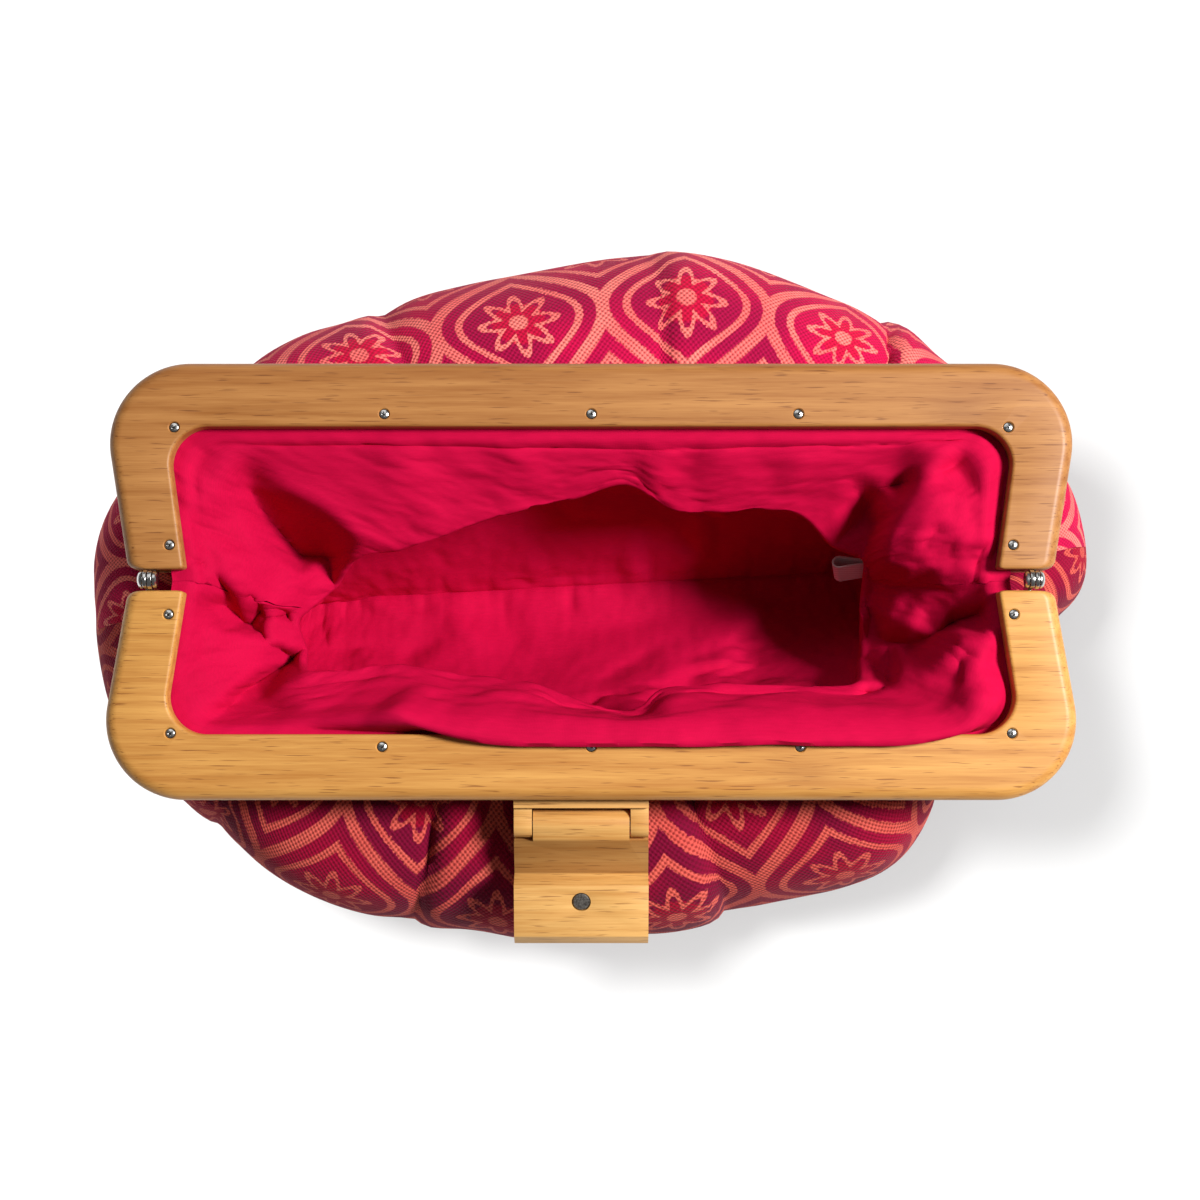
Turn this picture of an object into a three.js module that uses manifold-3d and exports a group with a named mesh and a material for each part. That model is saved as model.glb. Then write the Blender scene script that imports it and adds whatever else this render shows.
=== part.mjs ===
// Clutch bag on a hinged wooden frame, lying open on its base. Millimetres, +Z up.
// The origin is on the table under the middle of the bag. The clasp is on the front, -Y side.

import * as THREE from 'three';
import { mergeVertices } from 'three/addons/utils/BufferGeometryUtils.js';
import Module from 'manifold-3d';

const wasm = await Module();
wasm.setup();

// Room between neighbouring pieces, and how far a cutter reaches past the faces that it opens
const CLEARANCE = 0.3;
const OVERCUT = 1;
const UP = new THREE.Vector3(0, 0, 1);
const WELD = 1e-4;

// Wooden frame: two alike U-shaped halves, opened flat, with a groove all along the inner edge
const FRAME_TOP = 100;
const FRAME_THICK = 14;
const FRAME_BOTTOM = FRAME_TOP - FRAME_THICK;
const LEG_GAP = 6;
const LEG_END_Y = LEG_GAP / 2;
const OUTER_EDGE = { legX: 129.7, barX: 139.4, barY: 61.3, corner: 22.5, legEnd: 2.6 };
const INNER_EDGE = { legX: 113.5, barX: 119.4, barY: 43, corner: 10.5, legEnd: 1 };
const OUTER_ROUND = 4;
const INNER_CHAMFER = 1;
const LEG_END_SHARES = [0, 0.3, 1];
const CORNER_STEPS = 7;
const ROUND_STEPS = 3;
const GROOVE = { bottom: 91, top: 94.6, depth: 8.5 };

// Screws that clamp the cloth: along the bar, at the corners and near the leg ends
const SCREW = { headRadius: 1.2, shankRadius: 0.8, headHeight: 1.1, sink: 0.2 };
const ROUND_SIDES = 10;
const ARC_STEPS = 8;
const SCREW_INSET = 3.5;
const LEG_SCREW_INSET = 4.2;
const BAR_SCREW_PITCH = 58;
const LEG_SCREW_Y = 9.7;

// Hinge: two flat leaves on one rivet whose axis lies along X at the upper face
const LEAF = { thick: 1.1, eyeRadius: 2.7, eyeFromDeg: 35, eyeToDeg: 235 };
const TANG = { end: 13, top: -3, bottom: -9 };
const LEAF_OUTER_X = 123.5;
const RIVET = { shank: 1.3, head: 2.6, headHeight: 1.5, crown: 1.6, crownHeight: 1.2 };
const RIVET_TAIL = { radius: 2.3, height: 1 };

// Clasp: a base let into the front bar, a stepped lever on a pin, and a magnet with its keeper disc
const CLASP_X = -2.8;
const CLASP_WIDTH = 38;
const BARREL_WIDTH = 27.2;
const CLASP_AXIS = { y: -68.1, z: 85.7 };
const EAR_RADIUS = 4;
const BARREL_RADIUS = 3.9;
const BARREL_SIDES = 20;
const BASE = { inner: -55.9, face: -63.7, bottom: 81.7, top: 91.7 };
const PIN_RADIUS = 1.2;
const LEVER = { shoulder: 4.6, foot: 14.4, step: 16.4, plateEnd: 31.5, end: 34.5 };
const LEVER_PLATE = 6.1;
const LEVER_UNDER = -4.5;
const LEVER_EASE = 1;
const LEVER_REST_DEG = -14;
const MAGNET = { radius: 2.4, thick: 2, reach: 21.3, sides: 16 };
const KEEPER_Z = FRAME_BOTTOM + FRAME_THICK / 2;

// Cloth: two printed panels outside and two lining panels inside, which meet in a seam at Y = 0
const OUTER_WALL = 1.4;
const LINING_WALL = 1;
const CLOTH_GAP = 0.2;
const SEAM_HALF = 0.2;
const CLOTH_COLUMNS = 27;
const CLOTH_TUCK = 4.5;
const LIP_INSET = 1.4;
const SEAM_TAPER = 0.06;
const BASE_HEIGHT = CLOTH_GAP + OUTER_WALL;
const MOUTH_X = INNER_EDGE.barX;
const MOUTH_Y = INNER_EDGE.barY;

// Sections of the pouch from the groove down to the base seam. x is the half length, back and front
// are the half depths, and the heights are those at the sides, the back and the front. round goes
// from the frame's mouth (0) to an ellipse (1), and turn is the section's twist about Z in degrees.
// mouth and belly are the shares of a fold's two depths that the section takes.
const SECTIONS = table(
  ['name', 'x', 'back', 'front', 'sideZ', 'backZ', 'frontZ', 'round', 'turn', 'mouth', 'belly'],
  [
    ['groove', MOUTH_X + CLOTH_TUCK, MOUTH_Y + CLOTH_TUCK, MOUTH_Y + CLOTH_TUCK, 93, 93, 93, 0, 0, 0, 0],
    ['lip', MOUTH_X - LIP_INSET, MOUTH_Y - LIP_INSET, MOUTH_Y - LIP_INSET, 93, 93, 93, 0, 0, 0, 0],
    ['brow', 104, 33.5, 36, 91.6, 91.6, 91.8, 0.1, 0, 0.35, 0],
    ['turn', 90, 27, 31.5, 80, 87.6, 88, 0.25, 0, 0.8, 0],
    ['throat', 82, 23.5, 29, 69, 81, 81, 0.35, 0, 1, 0],
    ['under', 86, 30, 35, 62, 75.5, 74, 0.45, 0.5, 0.7, 0.1],
    ['hollow', 103, 45, 47, 66, 78.5, 74.5, 0.55, 1.2, 0.3, 0.35],
    ['shoulder', 120.5, 64, 65, 76, 82.5, 76, 0.8, 3, 0.1, 0.7],
    ['upper', 139, 87.5, 92.5, 73, 75, 72, 0.93, 4.5, 0, 1],
    ['belly', 147.8, 101, 104.2, 50, 50, 48, 1, 5, 0, 1],
    ['lower', 142.5, 96.5, 101, 27, 27, 27, 1, 5, 0, 0.85],
    ['heel', 131.5, 84.5, 88, 9, 9, 9, 0.96, 4.5, 0, 0.5],
    ['base_edge', 118, 70, 72, BASE_HEIGHT, BASE_HEIGHT, BASE_HEIGHT, 0.9, 4, 0, 0.2],
    ['base_middle', 106, 36, 36, BASE_HEIGHT, BASE_HEIGHT, BASE_HEIGHT, 0.87, 3.5, 0, 0],
    ['base_seam', 95, 0, 0, BASE_HEIGHT, BASE_HEIGHT, BASE_HEIGHT, 0.85, 3, 0, 0],
  ],
);

// Folds of each panel: at and spread are shares of the way from the left seam to the right one.
// mouth and belly are how far the cloth stands out there, or falls in where they are negative.
const FOLD_COLUMNS = ['at', 'spread', 'mouth', 'belly'];
const BACK_FOLDS = table(FOLD_COLUMNS, [
  [0.1, 0.06, -3, 3],
  [0.22, 0.05, -6, -1.5],
  [0.357, 0.035, -3, -3],
  [0.46, 0.07, 0, -3.5],
  [0.57, 0.045, 4, 2],
  [0.68, 0.04, -2, -1.5],
  [0.79, 0.05, 3, -5],
  [0.9, 0.04, -5, -1],
]);
const FRONT_FOLDS = table(FOLD_COLUMNS, [
  [0.09, 0.05, 3, 1],
  [0.18, 0.05, -4, -2],
  [0.3, 0.05, 2, 1],
  [0.403, 0.035, -2, -3],
  [0.49, 0.05, 2, -2.5],
  [0.577, 0.035, -2, -2],
  [0.68, 0.04, 2, 3],
  [0.775, 0.05, -2, -9],
  [0.915, 0.045, -4, -8.5],
]);

// Folded tape loop on the lining, at the right side seam below the throat
const LABEL = { x: 84.6, y: 6.5, z: 62, droopDeg: 12 };
const LABEL_TAPE = { length: 11, width: 7, thick: 0.8, loopRadius: 2.4, steps: 6 };

const WOOD = new THREE.MeshStandardMaterial({ color: '#d6a767', roughness: 0.5, metalness: 0 });
const CANVAS = new THREE.MeshStandardMaterial({ color: '#b8234f', roughness: 0.9, metalness: 0 });
const LINING = new THREE.MeshStandardMaterial({ color: '#d10a45', roughness: 0.75, metalness: 0 });
const STEEL = new THREE.MeshStandardMaterial({ color: '#b9bcbe', roughness: 0.32, metalness: 1 });
const MAGNET_FINISH = new THREE.MeshStandardMaterial({ color: '#3b3735', roughness: 0.4, metalness: 0.8 });
const TAPE = new THREE.MeshStandardMaterial({ color: '#efe7e4', roughness: 0.7, metalness: 0 });

// Rows of a table as objects with named columns
function table(columns, rows) {
  return rows.map((row) => Object.fromEntries(columns.map((column, index) => [column, row[index]])));
}

// Closed solid of a geometry, ready to be joined or cut
function solidOf(geometry) {
  const bare = geometry.clone();
  bare.deleteAttribute('normal');
  bare.deleteAttribute('uv');
  const welded = mergeVertices(bare, WELD);
  const mesh = new wasm.Mesh({
    numProp: 3,
    vertProperties: new Float32Array(welded.getAttribute('position').array),
    triVerts: new Uint32Array(welded.index.array),
  });
  return new wasm.Manifold(mesh);
}

function geometryOf(solid) {
  const { vertProperties, triVerts } = solid.getMesh();
  return indexedGeometry(Array.from(vertProperties), Array.from(triVerts));
}

function indexedGeometry(positions, triangles) {
  const geometry = new THREE.BufferGeometry();
  geometry.setAttribute('position', new THREE.Float32BufferAttribute(positions, 3));
  geometry.setIndex(triangles);
  geometry.computeVertexNormals();
  return geometry;
}

function cut(solid, cutters) {
  return cutters.reduce((rest, cutter) => rest.subtract(cutter), solid);
}

function pieceOf(name, geometry, material) {
  const piece = new THREE.Mesh(geometry, material);
  piece.name = name;
  return piece;
}

function box(from, to) {
  const size = to.clone().sub(from);
  const middle = from.clone().add(to).multiplyScalar(0.5);
  return new THREE.BoxGeometry(size.x, size.y, size.z).translate(middle.x, middle.y, middle.z);
}

// Round bar along Z from z = 0
function bar(radius, length, sides = ROUND_SIDES) {
  const cylinder = new THREE.CylinderGeometry(radius, radius, length, sides);
  return cylinder.rotateX(Math.PI / 2).translate(0, 0, length / 2);
}

// Turns a shape drawn in (Y, Z) into a solid that runs along X from startX
function extrudeAlongX(shape, startX, length) {
  const turn = new THREE.Matrix4().makeBasis(
    new THREE.Vector3(0, 1, 0),
    new THREE.Vector3(0, 0, 1),
    new THREE.Vector3(1, 0, 0),
  );
  const settings = { depth: length, bevelEnabled: false, curveSegments: ARC_STEPS };
  const geometry = new THREE.ExtrudeGeometry(shape, settings);
  return geometry.applyMatrix4(turn).translate(startX, 0, 0);
}

// Closed solid through rings of points that all have the same number of points
function loft(rings, outline) {
  const count = outline.length;
  const positions = rings.flat().flatMap((point) => point.toArray());
  const triangles = [];
  for (let ring = 0; ring + 1 < rings.length; ring += 1) {
    for (let side = 0; side < count; side += 1) {
      const next = (side + 1) % count;
      const here = ring * count;
      const ahead = here + count;
      triangles.push(here + side, here + next, ahead + next);
      triangles.push(here + side, ahead + next, ahead + side);
    }
  }
  const last = (rings.length - 1) * count;
  for (const [a, b, c] of THREE.ShapeUtils.triangulateShape(outline, [])) {
    triangles.push(c, b, a);
    triangles.push(last + a, last + b, last + c);
  }
  return indexedGeometry(positions, triangles);
}

// Left leg and corner of a plan edge: the straight leg from its end, then the round corner
function legAndCorner(edge, endSign) {
  const corner = new THREE.Vector2(-edge.barX, edge.barY);
  const legEnd = new THREE.Vector2(-edge.legX, LEG_END_Y);
  const alongLeg = legEnd.clone().sub(corner).normalize();
  const alongBar = new THREE.Vector2(1, 0);
  const halfAngle = Math.acos(alongLeg.dot(alongBar)) / 2;
  const toMiddle = alongLeg.clone().add(alongBar).normalize();
  const middle = corner.clone().addScaledVector(toMiddle, edge.corner / Math.sin(halfAngle));
  const arcStart = corner.clone().addScaledVector(alongLeg, edge.corner / Math.tan(halfAngle));
  const points = [];
  for (const share of LEG_END_SHARES) {
    const fromEnd = share * OUTER_EDGE.legEnd;
    const rise = Math.max(edge.legEnd - fromEnd, 0);
    const inset = edge.legEnd - Math.sqrt(edge.legEnd ** 2 - rise ** 2);
    const along = legEnd.clone().addScaledVector(alongLeg, fromEnd / alongLeg.y);
    points.push(new THREE.Vector2(along.x + endSign * inset, LEG_END_Y + fromEnd));
  }
  for (let step = 0; step <= CORNER_STEPS; step += 1) {
    const turn = (-step / CORNER_STEPS) * (Math.PI - 2 * halfAngle);
    points.push(arcStart.clone().rotateAround(middle, turn));
  }
  return points;
}

// A whole plan edge of the back half, from the left leg end to the right one
function planEdge(edge, endSign) {
  const left = legAndCorner(edge, endSign);
  const right = left.map((point) => new THREE.Vector2(-point.x, point.y)).reverse();
  return [...left, ...right];
}

// Section of a frame half: distance from the inner edge, and height
function frameSection(width) {
  const points = [
    new THREE.Vector2(0, FRAME_BOTTOM + INNER_CHAMFER),
    new THREE.Vector2(INNER_CHAMFER, FRAME_BOTTOM),
  ];
  for (const [z, start] of [[FRAME_BOTTOM + OUTER_ROUND, -Math.PI / 2], [FRAME_TOP - OUTER_ROUND, 0]]) {
    for (let step = 0; step <= ROUND_STEPS; step += 1) {
      const angle = start + (step / ROUND_STEPS) * (Math.PI / 2);
      const across = width - OUTER_ROUND + OUTER_ROUND * Math.cos(angle);
      points.push(new THREE.Vector2(across, z + OUTER_ROUND * Math.sin(angle)));
    }
  }
  points.push(
    new THREE.Vector2(INNER_CHAMFER, FRAME_TOP),
    new THREE.Vector2(0, FRAME_TOP - INNER_CHAMFER),
    new THREE.Vector2(0, GROOVE.top),
    new THREE.Vector2(GROOVE.depth, GROOVE.top),
    new THREE.Vector2(GROOVE.depth, GROOVE.bottom),
    new THREE.Vector2(0, GROOVE.bottom),
  );
  return points;
}

function frameBlank() {
  const outer = planEdge(OUTER_EDGE, 1);
  const inner = planEdge(INNER_EDGE, -1);
  const rings = outer.map((outside, index) => {
    const inside = inner[index];
    const across = outside.clone().sub(inside);
    const direction = across.clone().normalize();
    return frameSection(across.length()).map((point) => {
      const place = inside.clone().addScaledVector(direction, point.x);
      return new THREE.Vector3(place.x, place.y, point.y);
    });
  });
  return solidOf(loft(rings, frameSection(outer[0].distanceTo(inner[0]))));
}

// Places of one half's screws, from the left leg round to the right leg
function screwPlaces() {
  const leftLeg = legAndCorner(INNER_EDGE, -1);
  const cornerMiddle = leftLeg[leftLeg.length - 1 - Math.floor(CORNER_STEPS / 2)];
  const out = SCREW_INSET * Math.SQRT1_2;
  const legX = -INNER_EDGE.legX - LEG_SCREW_INSET;
  const places = [new THREE.Vector2(legX, LEG_SCREW_Y)];
  places.push(cornerMiddle.clone().add(new THREE.Vector2(-out, out)));
  for (const place of [-1, 0, 1]) {
    places.push(new THREE.Vector2(place * BAR_SCREW_PITCH, INNER_EDGE.barY + SCREW_INSET));
  }
  places.push(new THREE.Vector2(-places[1].x, places[1].y));
  places.push(new THREE.Vector2(-legX, LEG_SCREW_Y));
  return places;
}

function screwGeometry() {
  const foot = GROOVE.top + CLEARANCE;
  const top = FRAME_TOP - SCREW.sink;
  const profile = [
    new THREE.Vector2(0, foot),
    new THREE.Vector2(SCREW.shankRadius, foot),
    new THREE.Vector2(SCREW.shankRadius, top - SCREW.headHeight),
    new THREE.Vector2(SCREW.headRadius, top - SCREW.headHeight / 2),
    new THREE.Vector2(SCREW.headRadius, top),
    new THREE.Vector2(0, top),
  ];
  const lathe = new THREE.LatheGeometry(profile, ROUND_SIDES).rotateX(Math.PI / 2);
  return geometryOf(solidOf(lathe));
}

function screwBores() {
  const radius = SCREW.headRadius + CLEARANCE;
  const depth = FRAME_TOP - GROOVE.top + 2 * OVERCUT;
  return screwPlaces().map(({ x, y }) => solidOf(bar(radius, depth).translate(x, y, GROOVE.top - OVERCUT)));
}

// X where a leaf of the left hinge starts: the outer one is next to the rivet's head
function leafStart(isOuter) {
  return isOuter ? -LEAF_OUTER_X - LEAF.thick : -LEAF_OUTER_X + CLEARANCE;
}

function leafSlot(startX) {
  const bottom = FRAME_TOP + TANG.bottom - CLEARANCE;
  const top = FRAME_TOP + TANG.top + CLEARANCE;
  const from = new THREE.Vector3(startX - CLEARANCE, LEG_END_Y - OVERCUT, bottom);
  const to = new THREE.Vector3(startX + LEAF.thick + CLEARANCE, TANG.end + CLEARANCE, top);
  return box(from, to);
}

// Back leaf of the left hinge: a tang in the leg end and an eye round the rivet
function leafGeometry(startX) {
  const shape = new THREE.Shape();
  const neck = LEG_END_Y - OVERCUT;
  const shoulder = LEG_END_Y - CLEARANCE;
  shape.moveTo(TANG.end, TANG.bottom);
  shape.lineTo(TANG.end, TANG.top);
  shape.lineTo(shoulder, TANG.top);
  const [from, to] = [LEAF.eyeFromDeg, LEAF.eyeToDeg].map(THREE.MathUtils.degToRad);
  shape.absarc(0, 0, LEAF.eyeRadius, from, to, false);
  shape.lineTo(neck, TANG.bottom);
  const eye = new THREE.Path();
  eye.absarc(0, 0, RIVET.shank + CLEARANCE, 0, 2 * Math.PI, true);
  shape.holes.push(eye);
  return extrudeAlongX(shape, startX, LEAF.thick).translate(0, 0, FRAME_TOP);
}

// Rivet of the left hinge, with a domed head outside and a flat tail inside
function rivetGeometry() {
  const headFace = leafStart(true) - CLEARANCE;
  const tailFace = leafStart(false) + LEAF.thick + CLEARANCE;
  const profile = [
    new THREE.Vector2(0, headFace - RIVET.headHeight),
    new THREE.Vector2(RIVET.crown, headFace - RIVET.crownHeight),
    new THREE.Vector2(RIVET.head, headFace),
    new THREE.Vector2(RIVET.shank, headFace),
    new THREE.Vector2(RIVET.shank, tailFace),
    new THREE.Vector2(RIVET_TAIL.radius, tailFace),
    new THREE.Vector2(RIVET_TAIL.radius, tailFace + RIVET_TAIL.height),
    new THREE.Vector2(0, tailFace + RIVET_TAIL.height),
  ];
  const lathe = new THREE.LatheGeometry(profile, ROUND_SIDES).rotateZ(-Math.PI / 2);
  return geometryOf(solidOf(lathe.translate(0, 0, FRAME_TOP)));
}

// One half of the frame in the back half's place, before the clasp or its keeper is let in
function frameHalf() {
  const slots = [leafSlot(leafStart(false)), leafSlot(-leafStart(true) - LEAF.thick)].map(solidOf);
  return cut(frameBlank(), [...screwBores(), ...slots]);
}

// Recess for the keeper disc in the outer edge of the back bar
function keeperRecess() {
  const depth = MAGNET.thick + CLEARANCE;
  const disc = bar(MAGNET.radius + CLEARANCE, depth + OVERCUT).rotateX(-Math.PI / 2);
  return solidOf(disc.translate(CLASP_X, OUTER_EDGE.barY - depth, KEEPER_Z));
}

// Rebate for the clasp base, in the half's own place before it is turned to the front
function claspRebate() {
  const halfWidth = CLASP_WIDTH / 2 + CLEARANCE;
  const from = new THREE.Vector3(-CLASP_X - halfWidth, -BASE.inner - CLEARANCE, FRAME_BOTTOM - OVERCUT);
  const to = new THREE.Vector3(-CLASP_X + halfWidth, OUTER_EDGE.barY + OVERCUT, BASE.top + CLEARANCE);
  return solidOf(box(from, to));
}

// A half with its screws and the leaves of its two legs
function frameGroup(side, halfSolid) {
  const group = new THREE.Group();
  group.add(pieceOf(`frame_${side}`, geometryOf(halfSolid), WOOD));
  screwPlaces().forEach((place, index) => {
    const screw = pieceOf(`screw_${side}_${index + 1}`, screwGeometry(), STEEL);
    screw.position.set(place.x, place.y, 0);
    group.add(screw);
  });
  const [firstHinge, secondHinge] = side === 'back' ? ['left', 'right'] : ['right', 'left'];
  const inner = pieceOf(`hinge_leaf_${firstHinge}_${side}`, leafGeometry(leafStart(false)), STEEL);
  const outer = leafGeometry(-leafStart(true) - LEAF.thick);
  group.add(inner, pieceOf(`hinge_leaf_${secondHinge}_${side}`, outer, STEEL));
  return group;
}

function hingeRivets() {
  const group = new THREE.Group();
  const left = pieceOf('hinge_rivet_left', rivetGeometry(), STEEL);
  const right = pieceOf('hinge_rivet_right', rivetGeometry(), STEEL);
  right.rotation.z = Math.PI;
  group.add(left, right);
  return group;
}

// Round bore for the clasp pin along X, at the given place in (Y, Z)
function pinBore(y, z) {
  const length = CLASP_WIDTH + 2 * OVERCUT;
  const bore = bar(PIN_RADIUS + CLEARANCE, length).rotateY(Math.PI / 2);
  return solidOf(bore.translate(-length / 2, y, z));
}

// Base block with an ear at each end, drawn round the clasp's own middle
function claspBaseGeometry() {
  const halfWidth = CLASP_WIDTH / 2;
  const from = new THREE.Vector3(-halfWidth, BASE.face, BASE.bottom);
  const to = new THREE.Vector3(halfWidth, BASE.inner, BASE.top);
  const ear = new THREE.Shape();
  ear.moveTo(BASE.inner - OVERCUT, CLASP_AXIS.z + EAR_RADIUS);
  ear.absarc(CLASP_AXIS.y, CLASP_AXIS.z, EAR_RADIUS, Math.PI / 2, (3 * Math.PI) / 2, false);
  ear.lineTo(BASE.inner - OVERCUT, CLASP_AXIS.z - EAR_RADIUS);
  const earWidth = (CLASP_WIDTH - BARREL_WIDTH) / 2 - CLEARANCE;
  const ears = [-halfWidth, halfWidth - earWidth].map((x) => solidOf(extrudeAlongX(ear, x, earWidth)));
  const block = ears.reduce((whole, piece) => whole.add(piece), solidOf(box(from, to)));
  return geometryOf(block.subtract(pinBore(CLASP_AXIS.y, CLASP_AXIS.z)));
}

// Stepped side outline of the lever, outward from the pin and upward, from the given start
function leverOutline(start) {
  const shape = new THREE.Shape();
  const slope = BARREL_RADIUS / LEVER.foot;
  shape.moveTo(start, LEVER_UNDER);
  shape.lineTo(LEVER.end - LEVER_EASE, LEVER_UNDER);
  shape.lineTo(LEVER.end, LEVER_UNDER + LEVER_EASE);
  shape.lineTo(LEVER.end, LEVER_PLATE / 2);
  shape.lineTo(LEVER.plateEnd, LEVER_PLATE);
  shape.lineTo(LEVER.step, LEVER_PLATE);
  shape.lineTo(LEVER.foot, 0);
  shape.lineTo(start, BARREL_RADIUS - start * slope);
  return shape;
}

// Lever lying level on its pin axis: it runs towards -Y from the axis
function leverGeometry() {
  const halfBarrel = BARREL_WIDTH / 2;
  const round = bar(BARREL_RADIUS, BARREL_WIDTH, BARREL_SIDES).rotateY(Math.PI / 2);
  const barrel = solidOf(round.translate(-halfBarrel, 0, 0));
  const neckEnd = LEVER.shoulder + OVERCUT;
  const neckShape = new THREE.Shape();
  neckShape.moveTo(0, -BARREL_RADIUS);
  neckShape.lineTo(LEVER.shoulder, LEVER_UNDER);
  neckShape.lineTo(neckEnd, LEVER_UNDER);
  neckShape.lineTo(neckEnd, BARREL_RADIUS * (1 - neckEnd / LEVER.foot));
  neckShape.lineTo(0, BARREL_RADIUS);
  const outward = (geometry) => solidOf(geometry.rotateZ(Math.PI));
  const neck = outward(extrudeAlongX(neckShape, -halfBarrel, BARREL_WIDTH));
  const flap = outward(extrudeAlongX(leverOutline(LEVER.shoulder), -CLASP_WIDTH / 2, CLASP_WIDTH));
  const depth = MAGNET.thick + CLEARANCE;
  const recess = bar(MAGNET.radius + CLEARANCE, depth + OVERCUT, MAGNET.sides);
  recess.translate(0, -MAGNET.reach, LEVER_PLATE - depth);
  const whole = barrel.add(neck).add(flap);
  return geometryOf(cut(whole, [pinBore(0, 0), solidOf(recess)]));
}

function claspGroup() {
  const group = new THREE.Group();
  group.position.x = CLASP_X;
  group.add(pieceOf('clasp_base', claspBaseGeometry(), WOOD));
  const pinLength = CLASP_WIDTH - 2 * CLEARANCE;
  const pin = pieceOf('clasp_pin', bar(PIN_RADIUS, pinLength).rotateY(Math.PI / 2), STEEL);
  pin.position.set(-pinLength / 2, CLASP_AXIS.y, CLASP_AXIS.z);
  group.add(pin);
  const swing = new THREE.Group();
  swing.position.set(0, CLASP_AXIS.y, CLASP_AXIS.z);
  swing.rotation.x = THREE.MathUtils.degToRad(-LEVER_REST_DEG);
  swing.add(pieceOf('clasp_lever', leverGeometry(), WOOD));
  const magnet = pieceOf('lever_magnet', bar(MAGNET.radius, MAGNET.thick, MAGNET.sides), MAGNET_FINISH);
  magnet.position.set(0, -MAGNET.reach, LEVER_PLATE - MAGNET.thick);
  swing.add(magnet);
  group.add(swing);
  return group;
}

function keeperDisc() {
  const disc = bar(MAGNET.radius, MAGNET.thick).rotateX(-Math.PI / 2);
  const keeper = pieceOf('keeper_disc', disc, STEEL);
  keeper.position.set(CLASP_X, OUTER_EDGE.barY - MAGNET.thick, KEEPER_Z);
  return keeper;
}

// Mouth of the frame as a path from the left side seam to the right one, scaled to a half size of 1
const MOUTH = mouthPath();

function mouthPath() {
  const path = new THREE.CurvePath();
  const corner = legAndCorner(INNER_EDGE, 0).slice(-CORNER_STEPS - 1);
  const half = [new THREE.Vector2(-INNER_EDGE.legX, 0), ...corner];
  const mirrored = half.map((point) => new THREE.Vector2(-point.x, point.y)).reverse();
  const points = [...half, ...mirrored].map(({ x, y }) => {
    return new THREE.Vector2(x / MOUTH_X, y / MOUTH_Y);
  });
  for (let index = 0; index + 1 < points.length; index += 1) {
    path.add(new THREE.LineCurve(points[index], points[index + 1]));
  }
  return path;
}

function foldDepth(folds, share, section) {
  const taper = Math.min(1, share / SEAM_TAPER, (1 - share) / SEAM_TAPER);
  return folds.reduce((depth, fold) => {
    const nearness = Math.exp(-(((share - fold.at) / fold.spread) ** 2));
    return depth + taper * nearness * (fold.mouth * section.mouth + fold.belly * section.belly);
  }, 0);
}

// Point of a panel's middle surface on one section, at a share of the way from left to right
function clothPoint(panel, section, share) {
  const mouth = MOUTH.getPoint(share);
  const arc = new THREE.Vector2(-Math.cos(Math.PI * share), Math.sin(Math.PI * share));
  const plan = mouth.lerp(arc, section.round);
  const depth = section[panel.name];
  const place = new THREE.Vector2(plan.x * section.x, plan.y * depth);
  const outward = new THREE.Vector2(arc.x * depth, arc.y * section.x).normalize();
  place.addScaledVector(outward, foldDepth(panel.folds, share, section));
  const height = THREE.MathUtils.lerp(section.sideZ, section[`${panel.name}Z`], arc.y);
  return new THREE.Vector3(place.x, panel.side * (SEAM_HALF + Math.max(place.y, 0)), height);
}

function clothGrid(panel) {
  return SECTIONS.map((section) => {
    const shares = Array.from({ length: CLOTH_COLUMNS + 1 }, (_, column) => column / CLOTH_COLUMNS);
    return shares.map((share) => clothPoint(panel, section, share));
  });
}

// Outward direction of the cloth at a grid point: straight down on the base, level along the seams
function clothNormal(grid, side, row, column) {
  if (SECTIONS[row].name.startsWith('base')) {
    return new THREE.Vector3(0, 0, -1);
  }
  const across = grid[row][Math.min(column + 1, CLOTH_COLUMNS)].clone();
  across.sub(grid[row][Math.max(column - 1, 0)]);
  const down = grid[row + 1][column].clone().sub(grid[Math.max(row - 1, 0)][column]);
  const normal = across.cross(down).multiplyScalar(side);
  if (column === 0 || column === CLOTH_COLUMNS) {
    normal.y = 0;
  }
  return normal.normalize();
}

// Cloth wall of a panel between two distances from its middle surface, as one closed solid
function clothWall(panel, inner, outer) {
  const grid = clothGrid(panel);
  const rows = grid.length;
  const width = CLOTH_COLUMNS + 1;
  const layers = [inner, outer].map((offset) => {
    return grid.flatMap((line, row) => line.map((point, column) => {
      const shifted = point.clone().addScaledVector(clothNormal(grid, panel.side, row, column), offset);
      return shifted.applyAxisAngle(UP, THREE.MathUtils.degToRad(SECTIONS[row].turn));
    }));
  });
  const positions = layers.flat().flatMap((point) => point.toArray());
  const outerStart = rows * width;
  const triangles = [];
  const face = (a, b, c) => triangles.push(...(panel.side > 0 ? [a, b, c] : [c, b, a]));
  for (let row = 0; row + 1 < rows; row += 1) {
    for (let column = 0; column < CLOTH_COLUMNS; column += 1) {
      const here = row * width + column;
      const below = here + width;
      face(outerStart + here, outerStart + here + 1, outerStart + below + 1);
      face(outerStart + here, outerStart + below + 1, outerStart + below);
      face(here, below + 1, here + 1);
      face(here, below, below + 1);
    }
  }
  const lastRow = (rows - 1) * width;
  const rim = [];
  for (let column = 0; column < CLOTH_COLUMNS; column += 1) rim.push(column);
  for (let row = 0; row < rows - 1; row += 1) rim.push(row * width + CLOTH_COLUMNS);
  for (let column = CLOTH_COLUMNS; column > 0; column -= 1) rim.push(lastRow + column);
  for (let row = rows - 1; row > 0; row -= 1) rim.push(row * width);
  rim.forEach((here, index) => {
    const next = rim[(index + 1) % rim.length];
    face(outerStart + next, outerStart + here, here);
    face(outerStart + next, here, next);
  });
  return indexedGeometry(positions, triangles);
}

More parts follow.
